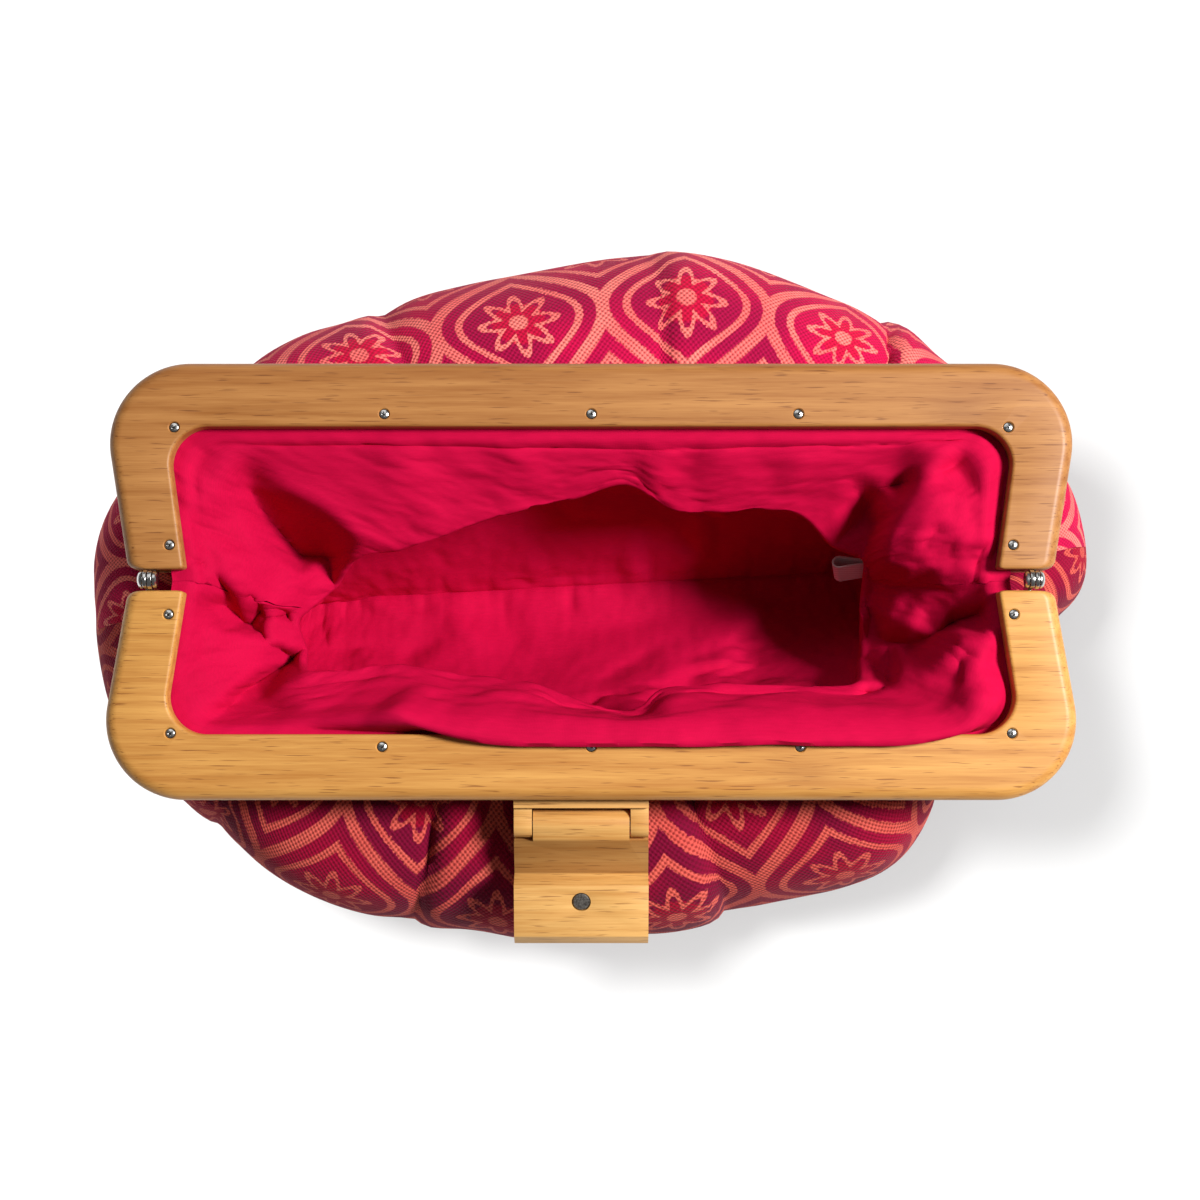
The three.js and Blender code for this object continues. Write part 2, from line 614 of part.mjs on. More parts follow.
function pouch() {
  const group = new THREE.Group();
  const panels = [
    { name: 'back', side: 1, folds: BACK_FOLDS },
    { name: 'front', side: -1, folds: FRONT_FOLDS },
  ];
  for (const panel of panels) {
    const canvas = clothWall(panel, CLOTH_GAP, CLOTH_GAP + OUTER_WALL);
    const lining = clothWall(panel, -CLOTH_GAP - LINING_WALL, -CLOTH_GAP);
    group.add(pieceOf(`outer_${panel.name}`, canvas, CANVAS));
    group.add(pieceOf(`lining_${panel.name}`, lining, LINING));
  }
  return group;
}

// Tape folded into a drop-shaped loop: its root is at the seam and its round end points inward
function labelLoop() {
  const drop = (radius, root) => {
    const path = new THREE.Shape();
    const middle = -LABEL_TAPE.length + LABEL_TAPE.loopRadius;
    path.moveTo(root, LABEL_TAPE.thick);
    path.absarc(middle, 0, radius, Math.PI / 2, (3 * Math.PI) / 2, false);
    path.lineTo(root, -LABEL_TAPE.thick);
    return path;
  };
  const shape = drop(LABEL_TAPE.loopRadius, 0);
  const inside = drop(LABEL_TAPE.loopRadius - LABEL_TAPE.thick, -LABEL_TAPE.length / 4);
  const hollow = new THREE.Path(inside.getPoints(LABEL_TAPE.steps).reverse());
  shape.holes.push(hollow);
  const settings = { depth: LABEL_TAPE.width, bevelEnabled: false, curveSegments: LABEL_TAPE.steps };
  const geometry = new THREE.ExtrudeGeometry(shape, settings);
  geometry.rotateX(Math.PI / 2).translate(0, LABEL_TAPE.width / 2, 0);
  const label = pieceOf('label_loop', geometry, TAPE);
  label.position.set(LABEL.x, LABEL.y, LABEL.z);
  label.rotation.y = THREE.MathUtils.degToRad(-LABEL.droopDeg);
  return label;
}

const half = frameHalf();
const backHalf = frameGroup('back', half.subtract(keeperRecess()));
const frontHalf = frameGroup('front', half.subtract(claspRebate()));
frontHalf.rotation.z = Math.PI;

const bag = new THREE.Group();
bag.add(backHalf, frontHalf, hingeRivets(), claspGroup(), keeperDisc(), pouch(), labelLoop());

export default bag;
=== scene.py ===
# %% [markdown]
# # A clutch bag on a hinged wooden frame
# The bag lies open: two wooden frame halves clamp a gathered cloth pouch, printed canvas outside and
# crimson cotton inside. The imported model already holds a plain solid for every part. This lesson
# builds a finer piece for each, in the same frame, and says which solids it stands for. The bag's
# sizes are in millimetres and become metres when a mesh is made. Lamps and floor are in metres.

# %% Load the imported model
import math

import bmesh
import bpy
import numpy as np
from mathutils import Matrix, Vector
from mathutils.geometry import delaunay_2d_cdt


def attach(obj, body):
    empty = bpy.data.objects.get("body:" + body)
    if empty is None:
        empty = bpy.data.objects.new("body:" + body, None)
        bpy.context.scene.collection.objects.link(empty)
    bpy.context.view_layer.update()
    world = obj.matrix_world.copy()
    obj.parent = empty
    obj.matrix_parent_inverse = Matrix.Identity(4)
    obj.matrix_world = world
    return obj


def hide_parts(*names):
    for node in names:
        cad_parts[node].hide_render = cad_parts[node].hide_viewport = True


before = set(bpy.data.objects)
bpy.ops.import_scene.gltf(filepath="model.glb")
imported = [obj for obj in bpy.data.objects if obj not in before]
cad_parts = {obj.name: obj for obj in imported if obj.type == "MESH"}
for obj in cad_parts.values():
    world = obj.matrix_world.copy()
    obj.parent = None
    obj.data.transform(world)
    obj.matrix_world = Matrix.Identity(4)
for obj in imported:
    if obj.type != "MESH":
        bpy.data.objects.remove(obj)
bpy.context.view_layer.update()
scene = bpy.context.scene
MM = 0.001

# %% [markdown]
# ## Camera
# The photo looks almost straight down, from a little in front of the bag. A camera is set by what it
# aims at, how far away it is and how much it takes in, so those three are the named values. The lens
# follows from the last two. The view transform is Standard, so the strong reds stay as they are.

# %% Camera at the photo's angle
AIM = Vector((2.5, -5.7, 100.0)) * MM
ELEVATION_DEG = 86.4
DISTANCE = 600 * MM
SEEN_WIDTH = 334 * MM
SENSOR = 36.0


def add_camera():
    tilt = math.radians(ELEVATION_DEG)
    away = Vector((0, -math.cos(tilt), math.sin(tilt)))
    data = bpy.data.cameras.new("camera")
    data.sensor_width = SENSOR
    data.lens = SENSOR * DISTANCE / SEEN_WIDTH
    camera = bpy.data.objects.new("camera", data)
    camera.location = AIM + away * DISTANCE
    camera.rotation_euler = (-away).to_track_quat("-Z", "Y").to_euler()
    scene.collection.objects.link(camera)
    scene.camera = camera
    return camera


camera = add_camera()
scene.view_settings.view_transform = "Standard"
print(f"lens {camera.data.lens:.1f} mm")

# %% [markdown]
# ## Light
# The right-hand edges of the wood are bright and the right side of the pouch is in shadow inside, so
# the main light stands on the right and a little behind. A weak lamp at the back opens its shadows and
# a white world fills the rest. The shadow on the floor falls the other way, to the right and front, as
# in a picture put together from two, so the floor gets lamps of its own: a small one on the left and
# a large one overhead, which darkens it where the bag touches it.

# %% Lamps and world
BAG_LAMPS = {
    "key_lamp": {"place": (0.74, 0.13, 0.98), "size": 0.24, "watts": 24.0},
    "fill_lamp": {"place": (-0.20, 0.80, 0.90), "size": 0.9, "watts": 2.4},
}
FLOOR_LAMPS = {
    "floor_lamp": {"place": (-0.34, 0.18, 1.20), "size": 0.22, "watts": 36.0},
    "sky_lamp": {"place": (0.0, 0.0, 1.60), "size": 2.4, "watts": 60.0},
}
WORLD_STRENGTH = 0.1
WHITE = (1, 1, 1, 1)


def add_lamp(name, place, size, watts):
    data = bpy.data.lights.new(name, "AREA")
    data.size = size
    data.energy = watts
    lamp = bpy.data.objects.new(name, data)
    lamp.location = place
    lamp.rotation_euler = (AIM - Vector(place)).to_track_quat("-Z", "Y").to_euler()
    scene.collection.objects.link(lamp)
    print(f"{name}: {watts:g} W")
    return lamp


def light_world(strength):
    world = bpy.data.worlds.new("studio")
    world.use_nodes = True
    background = world.node_tree.nodes["Background"]
    background.inputs["Color"].default_value = WHITE
    background.inputs["Strength"].default_value = strength
    scene.world = world


bag_lamps = [add_lamp(name, **values) for name, values in BAG_LAMPS.items()]
floor_lamps = [add_lamp(name, **values) for name, values in FLOOR_LAMPS.items()]
light_world(WORLD_STRENGTH)

# %% [markdown]
# ## Node arithmetic
# A finish is easier to read as a sum than as a page of links. Wire wraps one socket, and arithmetic
# on it adds Math nodes. Every other node comes from Tree.node, which takes the node's type, its
# settings and the values or links of its sockets. The same two classes serve shaders and geometry.

# %% Wire


class Wire:
    """One output socket of a node tree. Arithmetic on it adds Math nodes to the tree."""

    def __init__(self, tree, socket):
        self.tree = tree
        self.socket = socket

    def math(self, operation, *values):
        inputs = dict(enumerate(values))
        return self.tree.node("ShaderNodeMath", {"operation": operation}, inputs)

    def __add__(self, other):
        return self.math("ADD", self, other)

    def __sub__(self, other):
        return self.math("SUBTRACT", self, other)

    def __rsub__(self, other):
        return self.math("SUBTRACT", other, self)

    def __mul__(self, other):
        return self.math("MULTIPLY", self, other)

    def __truediv__(self, other):
        return self.math("DIVIDE", self, other)

    def __rtruediv__(self, other):
        return self.math("DIVIDE", other, self)

    def __gt__(self, other):
        return self.math("GREATER_THAN", self, other)

    def __abs__(self):
        return self.math("ABSOLUTE", self)

    __radd__ = __add__
    __rmul__ = __mul__

    def least(self, other):
        return self.math("MINIMUM", self, other)

    def most(self, other):
        return self.math("MAXIMUM", self, other)

    def sine(self):
        return self.math("SINE", self)

    def cosine(self):
        return self.math("COSINE", self)

    def angle(self, across):
        return self.math("ARCTAN2", self, across)

    def power_of_e(self):
        return self.math("EXPONENT", self)

    def root(self):
        return self.math("SQRT", self)

    def from_nearest(self):
        """Signed distance from the nearest whole number, -0.5 to 0.5."""
        return self.math("FRACT", self + 0.5) - 0.5

    def rise(self, low, high):
        """0 below low and 1 above high, with a soft step between."""
        settings = {"interpolation_type": "SMOOTHSTEP"}
        inputs = {"Value": self, "From Min": low, "From Max": high}
        return self.tree.node("ShaderNodeMapRange", settings, inputs)

    def within(self, reach, edge):
        """1 below reach and 0 above it, with a soft edge to either side."""
        return 1 - self.rise(reach - edge, reach + edge)


# %% Tree and Finish
# A Mix node has sockets for numbers, vectors and colours: these are its share and the colour ones
MIX_SHARE, MIX_LOW, MIX_HIGH, MIX_RESULT = 0, 6, 7, 2


def linear(code):
    """A #rrggbb colour as the linear colour that a shader works in."""
    parts = [int(code[i : i + 2], 16) / 255 for i in (1, 3, 5)]
    bent = [c / 12.92 if c <= 0.04045 else ((c + 0.055) / 1.055) ** 2.4 for c in parts]
    return (*bent, 1.0)


class Tree:
    """A node tree that grows by Python expressions."""

    def __init__(self, group):
        self.group = group

    def node(self, kind, settings=None, inputs=None, out=0):
        """Adds a node, and gives one of its outputs as a Wire."""
        node = self.group.nodes.new(kind)
        for name, value in (settings or {}).items():
            setattr(node, name, value)
        for key, value in (inputs or {}).items():
            self.feed(node.inputs[key], value)
        return Wire(self, node.outputs[out])

    def feed(self, socket, value):
        """Links a Wire or a list of them to a socket, or sets its value."""
        if isinstance(value, list):
            for wire in value:
                self.feed(socket, wire)
        elif isinstance(value, Wire):
            self.group.links.new(value.socket, socket)
        else:
            socket.default_value = value

    def parts(self, vector):
        split = self.group.nodes.new("ShaderNodeSeparateXYZ")
        self.feed(split.inputs[0], vector)
        return [Wire(self, output) for output in split.outputs]

    def joined(self, x, y, z):
        return self.node("ShaderNodeCombineXYZ", None, {0: x, 1: y, 2: z})


class Finish(Tree):
    """A material with one Principled shader."""

    def __init__(self, name, **constants):
        self.material = bpy.data.materials.new(name)
        self.material.use_nodes = True
        super().__init__(self.material.node_tree)
        self.shader = self.group.nodes["Principled BSDF"]
        for socket, value in constants.items():
            self.set(socket.replace("_", " "), value)

    def set(self, socket, value):
        self.feed(self.shader.inputs[socket], value)

    def mix(self, share, low, high, blend="MIX"):
        """A colour between two colours, or one colour blended with another."""
        settings = {"data_type": "RGBA", "blend_type": blend}
        inputs = {MIX_SHARE: share, MIX_LOW: low, MIX_HIGH: high}
        return self.node("ShaderNodeMix", settings, inputs, MIX_RESULT)

    def shade(self, colour, share, by):
        """A colour multiplied by another one where the share is high."""
        return self.mix(share, colour, by, "MULTIPLY")

    def place(self, kind="Object"):
        """Object or UV coordinates in millimetres. A cloth's UV map holds its flat measures."""
        spot = self.node("ShaderNodeTexCoord", out=kind)
        return self.scaled(spot, (1 / MM, 1 / MM, 1 / MM))

    def scaled(self, vector, factors):
        settings = {"operation": "MULTIPLY"}
        return self.node("ShaderNodeVectorMath", settings, {0: vector, 1: factors})

    def noise(self, vector, scale, detail=2.0, roughness=0.5):
        inputs = {"Vector": vector, "Scale": scale, "Detail": detail, "Roughness": roughness}
        return self.node("ShaderNodeTexNoise", None, inputs)

    def bump(self, height, distance, strength=1.0):
        inputs = {"Height": height, "Distance": distance * MM, "Strength": strength}
        self.set("Normal", self.node("ShaderNodeBump", None, inputs))


# %% [markdown]
# ## Floor
# The bag lies on something plain and white. One large plane is enough. Light linking then gives each
# lamp a list of what it lights.

# %% Floor
FLOOR_HALF = 4.0


def floor_finish():
    finish = Finish("floor", Roughness=0.9, Emission_Color=WHITE, Emission_Strength=0.5)
    speckle = finish.noise(finish.place(), 0.02, 3.0)
    finish.set("Base Color", finish.mix(speckle, linear("#727272"), linear("#767675")))
    return finish.material


def add_floor():
    corners = [(-1, -1, 0), (1, -1, 0), (1, 1, 0), (-1, 1, 0)]
    mesh = bpy.data.meshes.new("floor")
    mesh.from_pydata([Vector(c) * FLOOR_HALF for c in corners], [], [(0, 1, 2, 3)])
    floor = bpy.data.objects.new("floor", mesh)
    mesh.materials.append(floor_finish())
    scene.collection.objects.link(floor)
    return floor


def link_light(lamps, piece, state):
    """Let the lamps light only the piece, or everything but the piece."""
    for lamp in lamps:
        lit = bpy.data.collections.new(f"lit_by_{lamp.name}")
        lit.objects.link(piece)
        lit.collection_objects[0].light_linking.link_state = state
        lamp.light_linking.receiver_collection = lit


floor = add_floor()
link_light(bag_lamps, floor, "EXCLUDE")
link_light(floor_lamps, floor, "INCLUDE")
print("floor:", 2 * FLOOR_HALF, "m wide")

# %% [markdown]
# ## Meshes from points
# The hard pieces are lofts, extrusions and turned shapes. Each is worked out as an array of points
# with a list of faces, so a shape stays a few lines of arithmetic. Booleans, bevels and node trees
# are then settled into plain meshes, because only meshes are kept.

# %% Shapes as points and faces


def join_shapes(shapes):
    points = []
    faces = []
    for more_points, more_faces in shapes:
        start = sum(len(p) for p in points)
        points.append(np.asarray(more_points, float))
        faces += [tuple(start + i for i in face) for face in more_faces]
    return np.concatenate(points), faces


def moved(shape, matrix):
    points, faces = shape
    matrix = np.array(matrix)
    return points @ matrix[:3, :3].T + matrix[:3, 3], faces


def extrude_x(outline, start, end):
    """A (y, z) outline as a solid from x = start to x = end."""
    count = len(outline)
    points = [(x, y, z) for x in (start, end) for y, z in outline]
    faces = [tuple(range(count)), tuple(range(2 * count - 1, count - 1, -1))]
    for i in range(count):
        j = (i + 1) % count
        faces.append((i, count + i, count + j, j))
    return np.array(points, float), faces


def turned(profile, sides=40):
    """A (radius, height) profile that starts and ends on the axis, turned round Z."""
    angles = np.linspace(0, 2 * math.pi, sides, endpoint=False)
    rings = [(r * np.cos(angles), r * np.sin(angles), np.full(sides, h)) for r, h in profile[1:-1]]
    points = [np.stack(ring, axis=1) for ring in rings]
    points += [np.array([[0, 0, profile[0][1]], [0, 0, profile[-1][1]]])]
    first = len(rings) * sides
    last_ring = first - sides
    faces = []
    for i in range(sides):
        j = (i + 1) % sides
        faces.append((first, j, i))
        faces.append((first + 1, last_ring + i, last_ring + j))
        for ring in range(len(rings) - 1):
            a, b = ring * sides, (ring + 1) * sides
            faces.append((a + i, a + j, b + j, b + i))
    return np.concatenate(points), faces


def block(low, high):
    (x0, y0, z0), (x1, y1, z1) = low, high
    return extrude_x([(y0, z0), (y1, z0), (y1, z1), (y0, z1)], x0, x1)


def rod(radius, start, end, sides=32):
    """A round bar along Z."""
    return turned([(0, start), (radius, start), (radius, end), (0, end)], sides)


# %% From shapes to pieces
SMOOTH_DEG = 35
EASE_SEGMENTS = 3
EASE_DEG = 32


def add_piece(name, shape):
    """A linked object whose faces point outwards."""
    points, faces = shape
    mesh = bpy.data.meshes.new(name)
    mesh.from_pydata((np.asarray(points) * MM).tolist(), [], faces)
    tidy = bmesh.new()
    tidy.from_mesh(mesh)
    bmesh.ops.recalc_face_normals(tidy, faces=tidy.faces)
    tidy.to_mesh(mesh)
    tidy.free()
    return link_smooth(name, mesh)


def link_smooth(name, mesh, smooth_deg=SMOOTH_DEG):
    """A linked object that shades smoothly over edges up to an angle."""
    piece = bpy.data.objects.new(name, mesh)
    scene.collection.objects.link(piece)
    smooth(piece, smooth_deg)
    return piece


def smooth(piece, degrees=SMOOTH_DEG):
    piece.data.shade_smooth()
    piece.data.set_sharp_from_angle(angle=math.radians(degrees))


def settle(piece):
    """Turns a piece's modifiers into its plain mesh."""
    graph = bpy.context.evaluated_depsgraph_get()
    mesh = bpy.data.meshes.new_from_object(piece.evaluated_get(graph))
    piece.modifiers.clear()
    piece.data = mesh
    smooth(piece)
    return piece


def combine(piece, shape, operation):
    """Cuts a shape out of a piece, or joins it on."""
    cutter = add_piece("cutter", shape)
    step = piece.modifiers.new("combine", "BOOLEAN")
    step.operation = operation
    step.object = cutter
    step.solver = "EXACT"
    settle(piece)
    bpy.data.objects.remove(cutter)
    return piece


def ease(piece, width):
    """Rounds a piece's sharp edges, as sandpaper does."""
    step = piece.modifiers.new("ease", "BEVEL")
    step.width = width * MM
    step.segments = EASE_SEGMENTS
    step.limit_method = "ANGLE"
    step.angle_limit = math.radians(EASE_DEG)
    return settle(piece)


def dress(piece, material, body, slot, *nodes):
    """Gives a piece its finish and body and hides the solids it stands for. The slot is not used."""
    piece.data.materials.clear()
    piece.data.materials.append(material)
    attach(piece, body)
    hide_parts(*nodes)
    print(f"{piece.name}: {len(piece.data.polygons)} faces")
    return piece


# %% [markdown]
# ## Varnished wood
# The frame is sawn from a pale hardwood board, so the grain runs along X everywhere, on the legs too.
# Noise on Object coordinates goes right through a piece, as real grain does, where a flat pattern
# would have to be wrapped round it. Three noises stretched along X give broad tone, growth lines and
# fibres, and a fourth one cut off high gives the short dark pores. Two knots bend the grain.

# %% Wood finish
GRAIN_STRETCH = 0.045
# Knots: x, y and reach across the grain
KNOTS = [(59.6, -54.2, 7.0), (103.0, 47.5, 6.0)]
KNOT = {"length": 2.2, "fade": 2.2, "bend": 2.6}
# Soft edges of the span of Y that gets painted shade
PAINTED_SHADE_EDGE = {"low": 0.3, "high": 0.5}


def bent_grain(finish, x, y, z):
    """Coordinates stretched along the grain and bent round the knots, and the knots' mask."""
    bend = 0.0
    knot = 0.0
    for knot_x, knot_y, reach in KNOTS:
        along = (x - knot_x) / (KNOT["length"] * reach)
        across = (y - knot_y) / reach
        weight = ((along * along + across * across) * -KNOT["fade"]).power_of_e()
        bend = weight * across * KNOT["bend"] + bend
        knot = weight + knot
    return finish.joined(x * GRAIN_STRETCH, y + bend, z), knot


def wood_finish(name, light, dark, shade_span=None):
    """Wood of two tones. The last argument is a span of Y where the faces get painted shade."""
    finish = Finish(name, Coat_Weight=0.1, Coat_Roughness=0.3, Specular_IOR_Level=0.35)
    x, y, z = finish.parts(finish.place())
    line, knot = bent_grain(finish, x, y, z)
    tone = finish.noise(line, 0.035, 2.0)
    growth = finish.noise(line, 0.34, 3.0, 0.6)
    fibre = finish.noise(finish.scaled(line, (0.6, 1, 1)), 2.6, 2.0, 0.6)
    pore = finish.noise(finish.scaled(line, (1.1, 1, 1)), 2.1, 1.0).rise(0.62, 0.74)
    share = (tone - 0.5) * 0.9 + (growth - 0.5) * 1.5 + (fibre - 0.5) * 0.55 + 0.5
    colour = finish.mix(share.rise(0.0, 1.0), linear(dark), linear(light))
    colour = finish.shade(colour, pore * 0.6, linear("#8a5a2c"))
    colour = finish.shade(colour, knot * growth * 0.5, linear("#9c6631"))
    # Painted shade: the faces within the given span of Y are painted darker
    if shade_span:
        low, high = shade_span
        shade_past_low = y.rise(low - PAINTED_SHADE_EDGE["low"], low + PAINTED_SHADE_EDGE["low"])
        face = shade_past_low * y.within(high, PAINTED_SHADE_EDGE["high"])
        colour = finish.shade(colour, face, linear("#b9ada0"))
    finish.set("Base Color", colour)
    finish.set("Roughness", fibre * 0.2 + 0.44)
    finish.bump(fibre * 0.4 + growth * 0.4 - pore * 0.9, 0.05, 0.5)
    print(f"{name}: {len(finish.group.nodes)} nodes")
    return finish.material


# The back half's wood is painted darker than the front half's: painted shade, as less light falls on it
frame_wood_with_painted_shade = {
    "back": wood_finish("back_wood", "#b07940", "#8e5520"),
    "front": wood_finish("front_wood", "#cf974d", "#ab6e2c"),
}

# %% [markdown]
# ## Frame halves
# Each half is a U: a straight bar, two round corners and two legs that end at the hinges. The legs
# are narrower than the bar, and a bevelled curve would squeeze its rounded edges with its width. So
# the half is a loft, with one section for each pair of points on the outer and inner plan edges. The
# section has round outer edges, small eased inner edges and the groove that holds the cloth. The
# back half is made first, and the front half is the same shape turned half a turn about Z.

# %% Frame plan
LEG_END_Y = 3.0
OUTER_EDGE = {"leg_x": 129.7, "bar_x": 139.4, "bar_y": 61.3, "corner": 22.5, "leg_end": 2.6}
INNER_EDGE = {"leg_x": 113.5, "bar_x": 119.4, "bar_y": 43.0, "corner": 10.5, "leg_end": 1.0}
CORNER_STEPS = 26
END_STEPS = 6


def corner_frame(edge):
    """Corner point of a plan edge, the way along its leg, the arc's middle and the half angle."""
    corner = np.array([-edge["bar_x"], edge["bar_y"]])
    along_leg = np.array([-edge["leg_x"], LEG_END_Y]) - corner
    along_leg /= np.linalg.norm(along_leg)
    half_angle = math.acos(along_leg[0]) / 2
    to_middle = along_leg + (1, 0)
    to_middle /= np.linalg.norm(to_middle)
    middle = corner + to_middle * edge["corner"] / math.sin(half_angle)
    return corner, along_leg, middle, half_angle


def corner_arc(edge, steps=CORNER_STEPS):
    corner, along_leg, middle, half_angle = corner_frame(edge)
    start = corner + along_leg * edge["corner"] / math.tan(half_angle) - middle
    turns = -np.linspace(0, 1, steps + 1) * (math.pi - 2 * half_angle)
    cos, sin = np.cos(turns), np.sin(turns)
    return middle + np.stack([cos * start[0] - sin * start[1], sin * start[0] + cos * start[1]], 1)


def leg_points(edge, inset_sign):
    """The straight leg with its round end, from the hinge towards the corner."""
    _, along_leg, _, _ = corner_frame(edge)
    points = []
    for step in np.linspace(0, math.pi / 2, END_STEPS + 1):
        from_end = OUTER_EDGE["leg_end"] * (1 - math.cos(step))
        rise = max(edge["leg_end"] - from_end, 0)
        inset = edge["leg_end"] - math.sqrt(edge["leg_end"] ** 2 - rise**2)
        x = -edge["leg_x"] + along_leg[0] * from_end / along_leg[1]
        points.append((x + inset_sign * inset, LEG_END_Y + from_end))
    return np.array(points)


def plan_edge(edge, inset_sign):
    left = np.concatenate([leg_points(edge, inset_sign), corner_arc(edge)])
    return np.concatenate([left, left[::-1] * (-1, 1)])


outer_plan = plan_edge(OUTER_EDGE, 1)
inner_plan = plan_edge(INNER_EDGE, -1)
print("frame plan:", len(outer_plan), "points on each edge")

# %% Frame section and loft
FRAME_TOP = 100.0
FRAME_BOTTOM = 86.0
FRAME_MIDDLE = (FRAME_TOP + FRAME_BOTTOM) / 2
OUTER_ROUND, OUTER_STEPS = 4.0, 9
INNER_ROUND, INNER_STEPS = 1.1, 4
END_ROUND = 0.7
GROOVE = {"bottom": 91.0, "top": 94.6, "depth": 8.5}


def arc_points(middle, radius, start_deg, end_deg, steps=OUTER_STEPS):
    angles = np.radians(np.linspace(start_deg, end_deg, steps + 1))
    return [(middle[0] + radius * math.cos(a), middle[1] + radius * math.sin(a)) for a in angles]


def frame_section(width):
    """Section of a half: distance from the inner edge, and height."""
    low, high = FRAME_BOTTOM, FRAME_TOP
    far = width - OUTER_ROUND
    return np.array(
        arc_points((INNER_ROUND, low + INNER_ROUND), INNER_ROUND, 180, 270, INNER_STEPS)
        + arc_points((far, low + OUTER_ROUND), OUTER_ROUND, -90, 0)
        + arc_points((far, high - OUTER_ROUND), OUTER_ROUND, 0, 90)
        + arc_points((INNER_ROUND, high - INNER_ROUND), INNER_ROUND, 90, 180, INNER_STEPS)
        + [(0, GROOVE["top"]), (GROOVE["depth"], GROOVE["top"])]
        + [(GROOVE["depth"], GROOVE["bottom"]), (0, GROOVE["bottom"])]
    )


def frame_ring(outside, inside):
    """One section in place. Near a leg's end it shrinks a little, which rounds the end's edges."""
    across = outside - inside
    width = np.linalg.norm(across)
    section = frame_section(width)
    to_end = max(END_ROUND - (outside[1] - LEG_END_Y), 0)
    shrink = END_ROUND - math.sqrt(END_ROUND**2 - to_end**2)
    reach = shrink + section[:, 0] * (1 - 2 * shrink / width)
    flatter = 1 - 2 * shrink / (FRAME_TOP - FRAME_BOTTOM)
    height = FRAME_MIDDLE + (section[:, 1] - FRAME_MIDDLE) * flatter
    plan = inside + np.outer(reach, across / width)
    return np.column_stack([plan, height])


def frame_half_shape():
    rings = [frame_ring(outside, inside) for outside, inside in zip(outer_plan, inner_plan)]
    count = len(rings[0])
    last = (len(rings) - 1) * count
    faces = [tuple(range(count)), tuple(range(last + count - 1, last - 1, -1))]
    for a in range(0, last, count):
        b = a + count
        for i in range(count):
            j = (i + 1) % count
            faces.append((a + i, b + i, b + j, a + j))
    return np.concatenate(rings), faces


half_shape = frame_half_shape()
print("frame half:", len(half_shape[1]), "faces before it is cut")

# %% [markdown]
# The halves are cut as a joiner would: a countersunk hole for each screw, a slot for each hinge leaf,
# a rebate under the front bar for the clasp's base and a shallow hole in the back bar for the
# magnet's keeper. Booleans do this, because each tool is a simple shape and the bar keeps its form.

# %% Holes, slots and rebate
SCREW_INSET = 3.5
LEG_SCREW = {"inset": 4.2, "y": 9.7}
# The corner's screw stands by one of the points that part the inner arc
CORNER_PARTS, CORNER_POINT = 7, 4
BAR_SCREW_PITCH = 58.0
SCREW_HOLE = {"radius": 1.42, "mouth": 1.75, "depth": 4.5, "sides": 28}
CLASP_X = -2.8
CLASP_WIDTH = 38.0
BASE = {"inner": -55.9, "face": -63.7, "bottom": 81.7, "top": 91.7}
LEAF = {"thick": 1.1, "eye": 2.7, "start": 123.5, "tang_end": 13.0, "tang_top": -3.0, "tang_bottom": -9.0}
MAGNET = {"radius": 2.4, "thick": 2.0, "rim": 0.25, "reach": 21.3}
CLEARANCE = 0.3
OVERCUT = 1.0
INNER_LEAF_X = -LEAF["start"] + CLEARANCE
OUTER_LEAF_X = LEAF["start"]
TO_BACK = Matrix.Rotation(-math.pi / 2, 4, "X")


def screw_places():
    """Places of one half's screws, from the left leg round to the right one."""
    leg = (-INNER_EDGE["leg_x"] - LEG_SCREW["inset"], LEG_SCREW["y"])
    middle = corner_arc(INNER_EDGE, CORNER_PARTS)[CORNER_POINT]
    out = SCREW_INSET * math.sqrt(0.5)
    corner = (middle[0] - out, middle[1] + out)
    bar_y = INNER_EDGE["bar_y"] + SCREW_INSET
    bar = [(step * BAR_SCREW_PITCH, bar_y) for step in (-1, 0, 1)]
    return [leg, corner, *bar, (-corner[0], corner[1]), (-leg[0], leg[1])]


def screw_holes():
    radius, mouth, depth = SCREW_HOLE["radius"], SCREW_HOLE["mouth"], SCREW_HOLE["depth"]
    lip = mouth - radius
    profile = [(0, -depth), (radius, -depth), (radius, -lip), (mouth, 0), (mouth, OVERCUT), (0, OVERCUT)]
    hole = turned(profile, SCREW_HOLE["sides"])
    return [moved(hole, Matrix.Translation((x, y, FRAME_TOP))) for x, y in screw_places()]


def leaf_slot(start):
    low = (start, LEG_END_Y - OVERCUT + CLEARANCE, FRAME_TOP + LEAF["tang_bottom"])
    high = (start + LEAF["thick"], LEAF["tang_end"], FRAME_TOP + LEAF["tang_top"])
    return block(np.subtract(low, CLEARANCE), np.add(high, CLEARANCE))


def disc_recess():
    """A hole for a magnet's disc, from z = 0 down."""
    return rod(MAGNET["radius"] + CLEARANCE, -MAGNET["thick"] - CLEARANCE, OVERCUT)


def keeper_hole():
    lie = Matrix.Translation((CLASP_X, OUTER_EDGE["bar_y"], FRAME_MIDDLE))
    return moved(disc_recess(), lie @ TO_BACK)


def clasp_rebate():
    half = CLASP_WIDTH / 2 + CLEARANCE
    low = (CLASP_X - half, -OUTER_EDGE["bar_y"] - OVERCUT, FRAME_BOTTOM - OVERCUT)
    high = (CLASP_X + half, BASE["inner"] + CLEARANCE, BASE["top"] + CLEARANCE)
    return block(low, high)


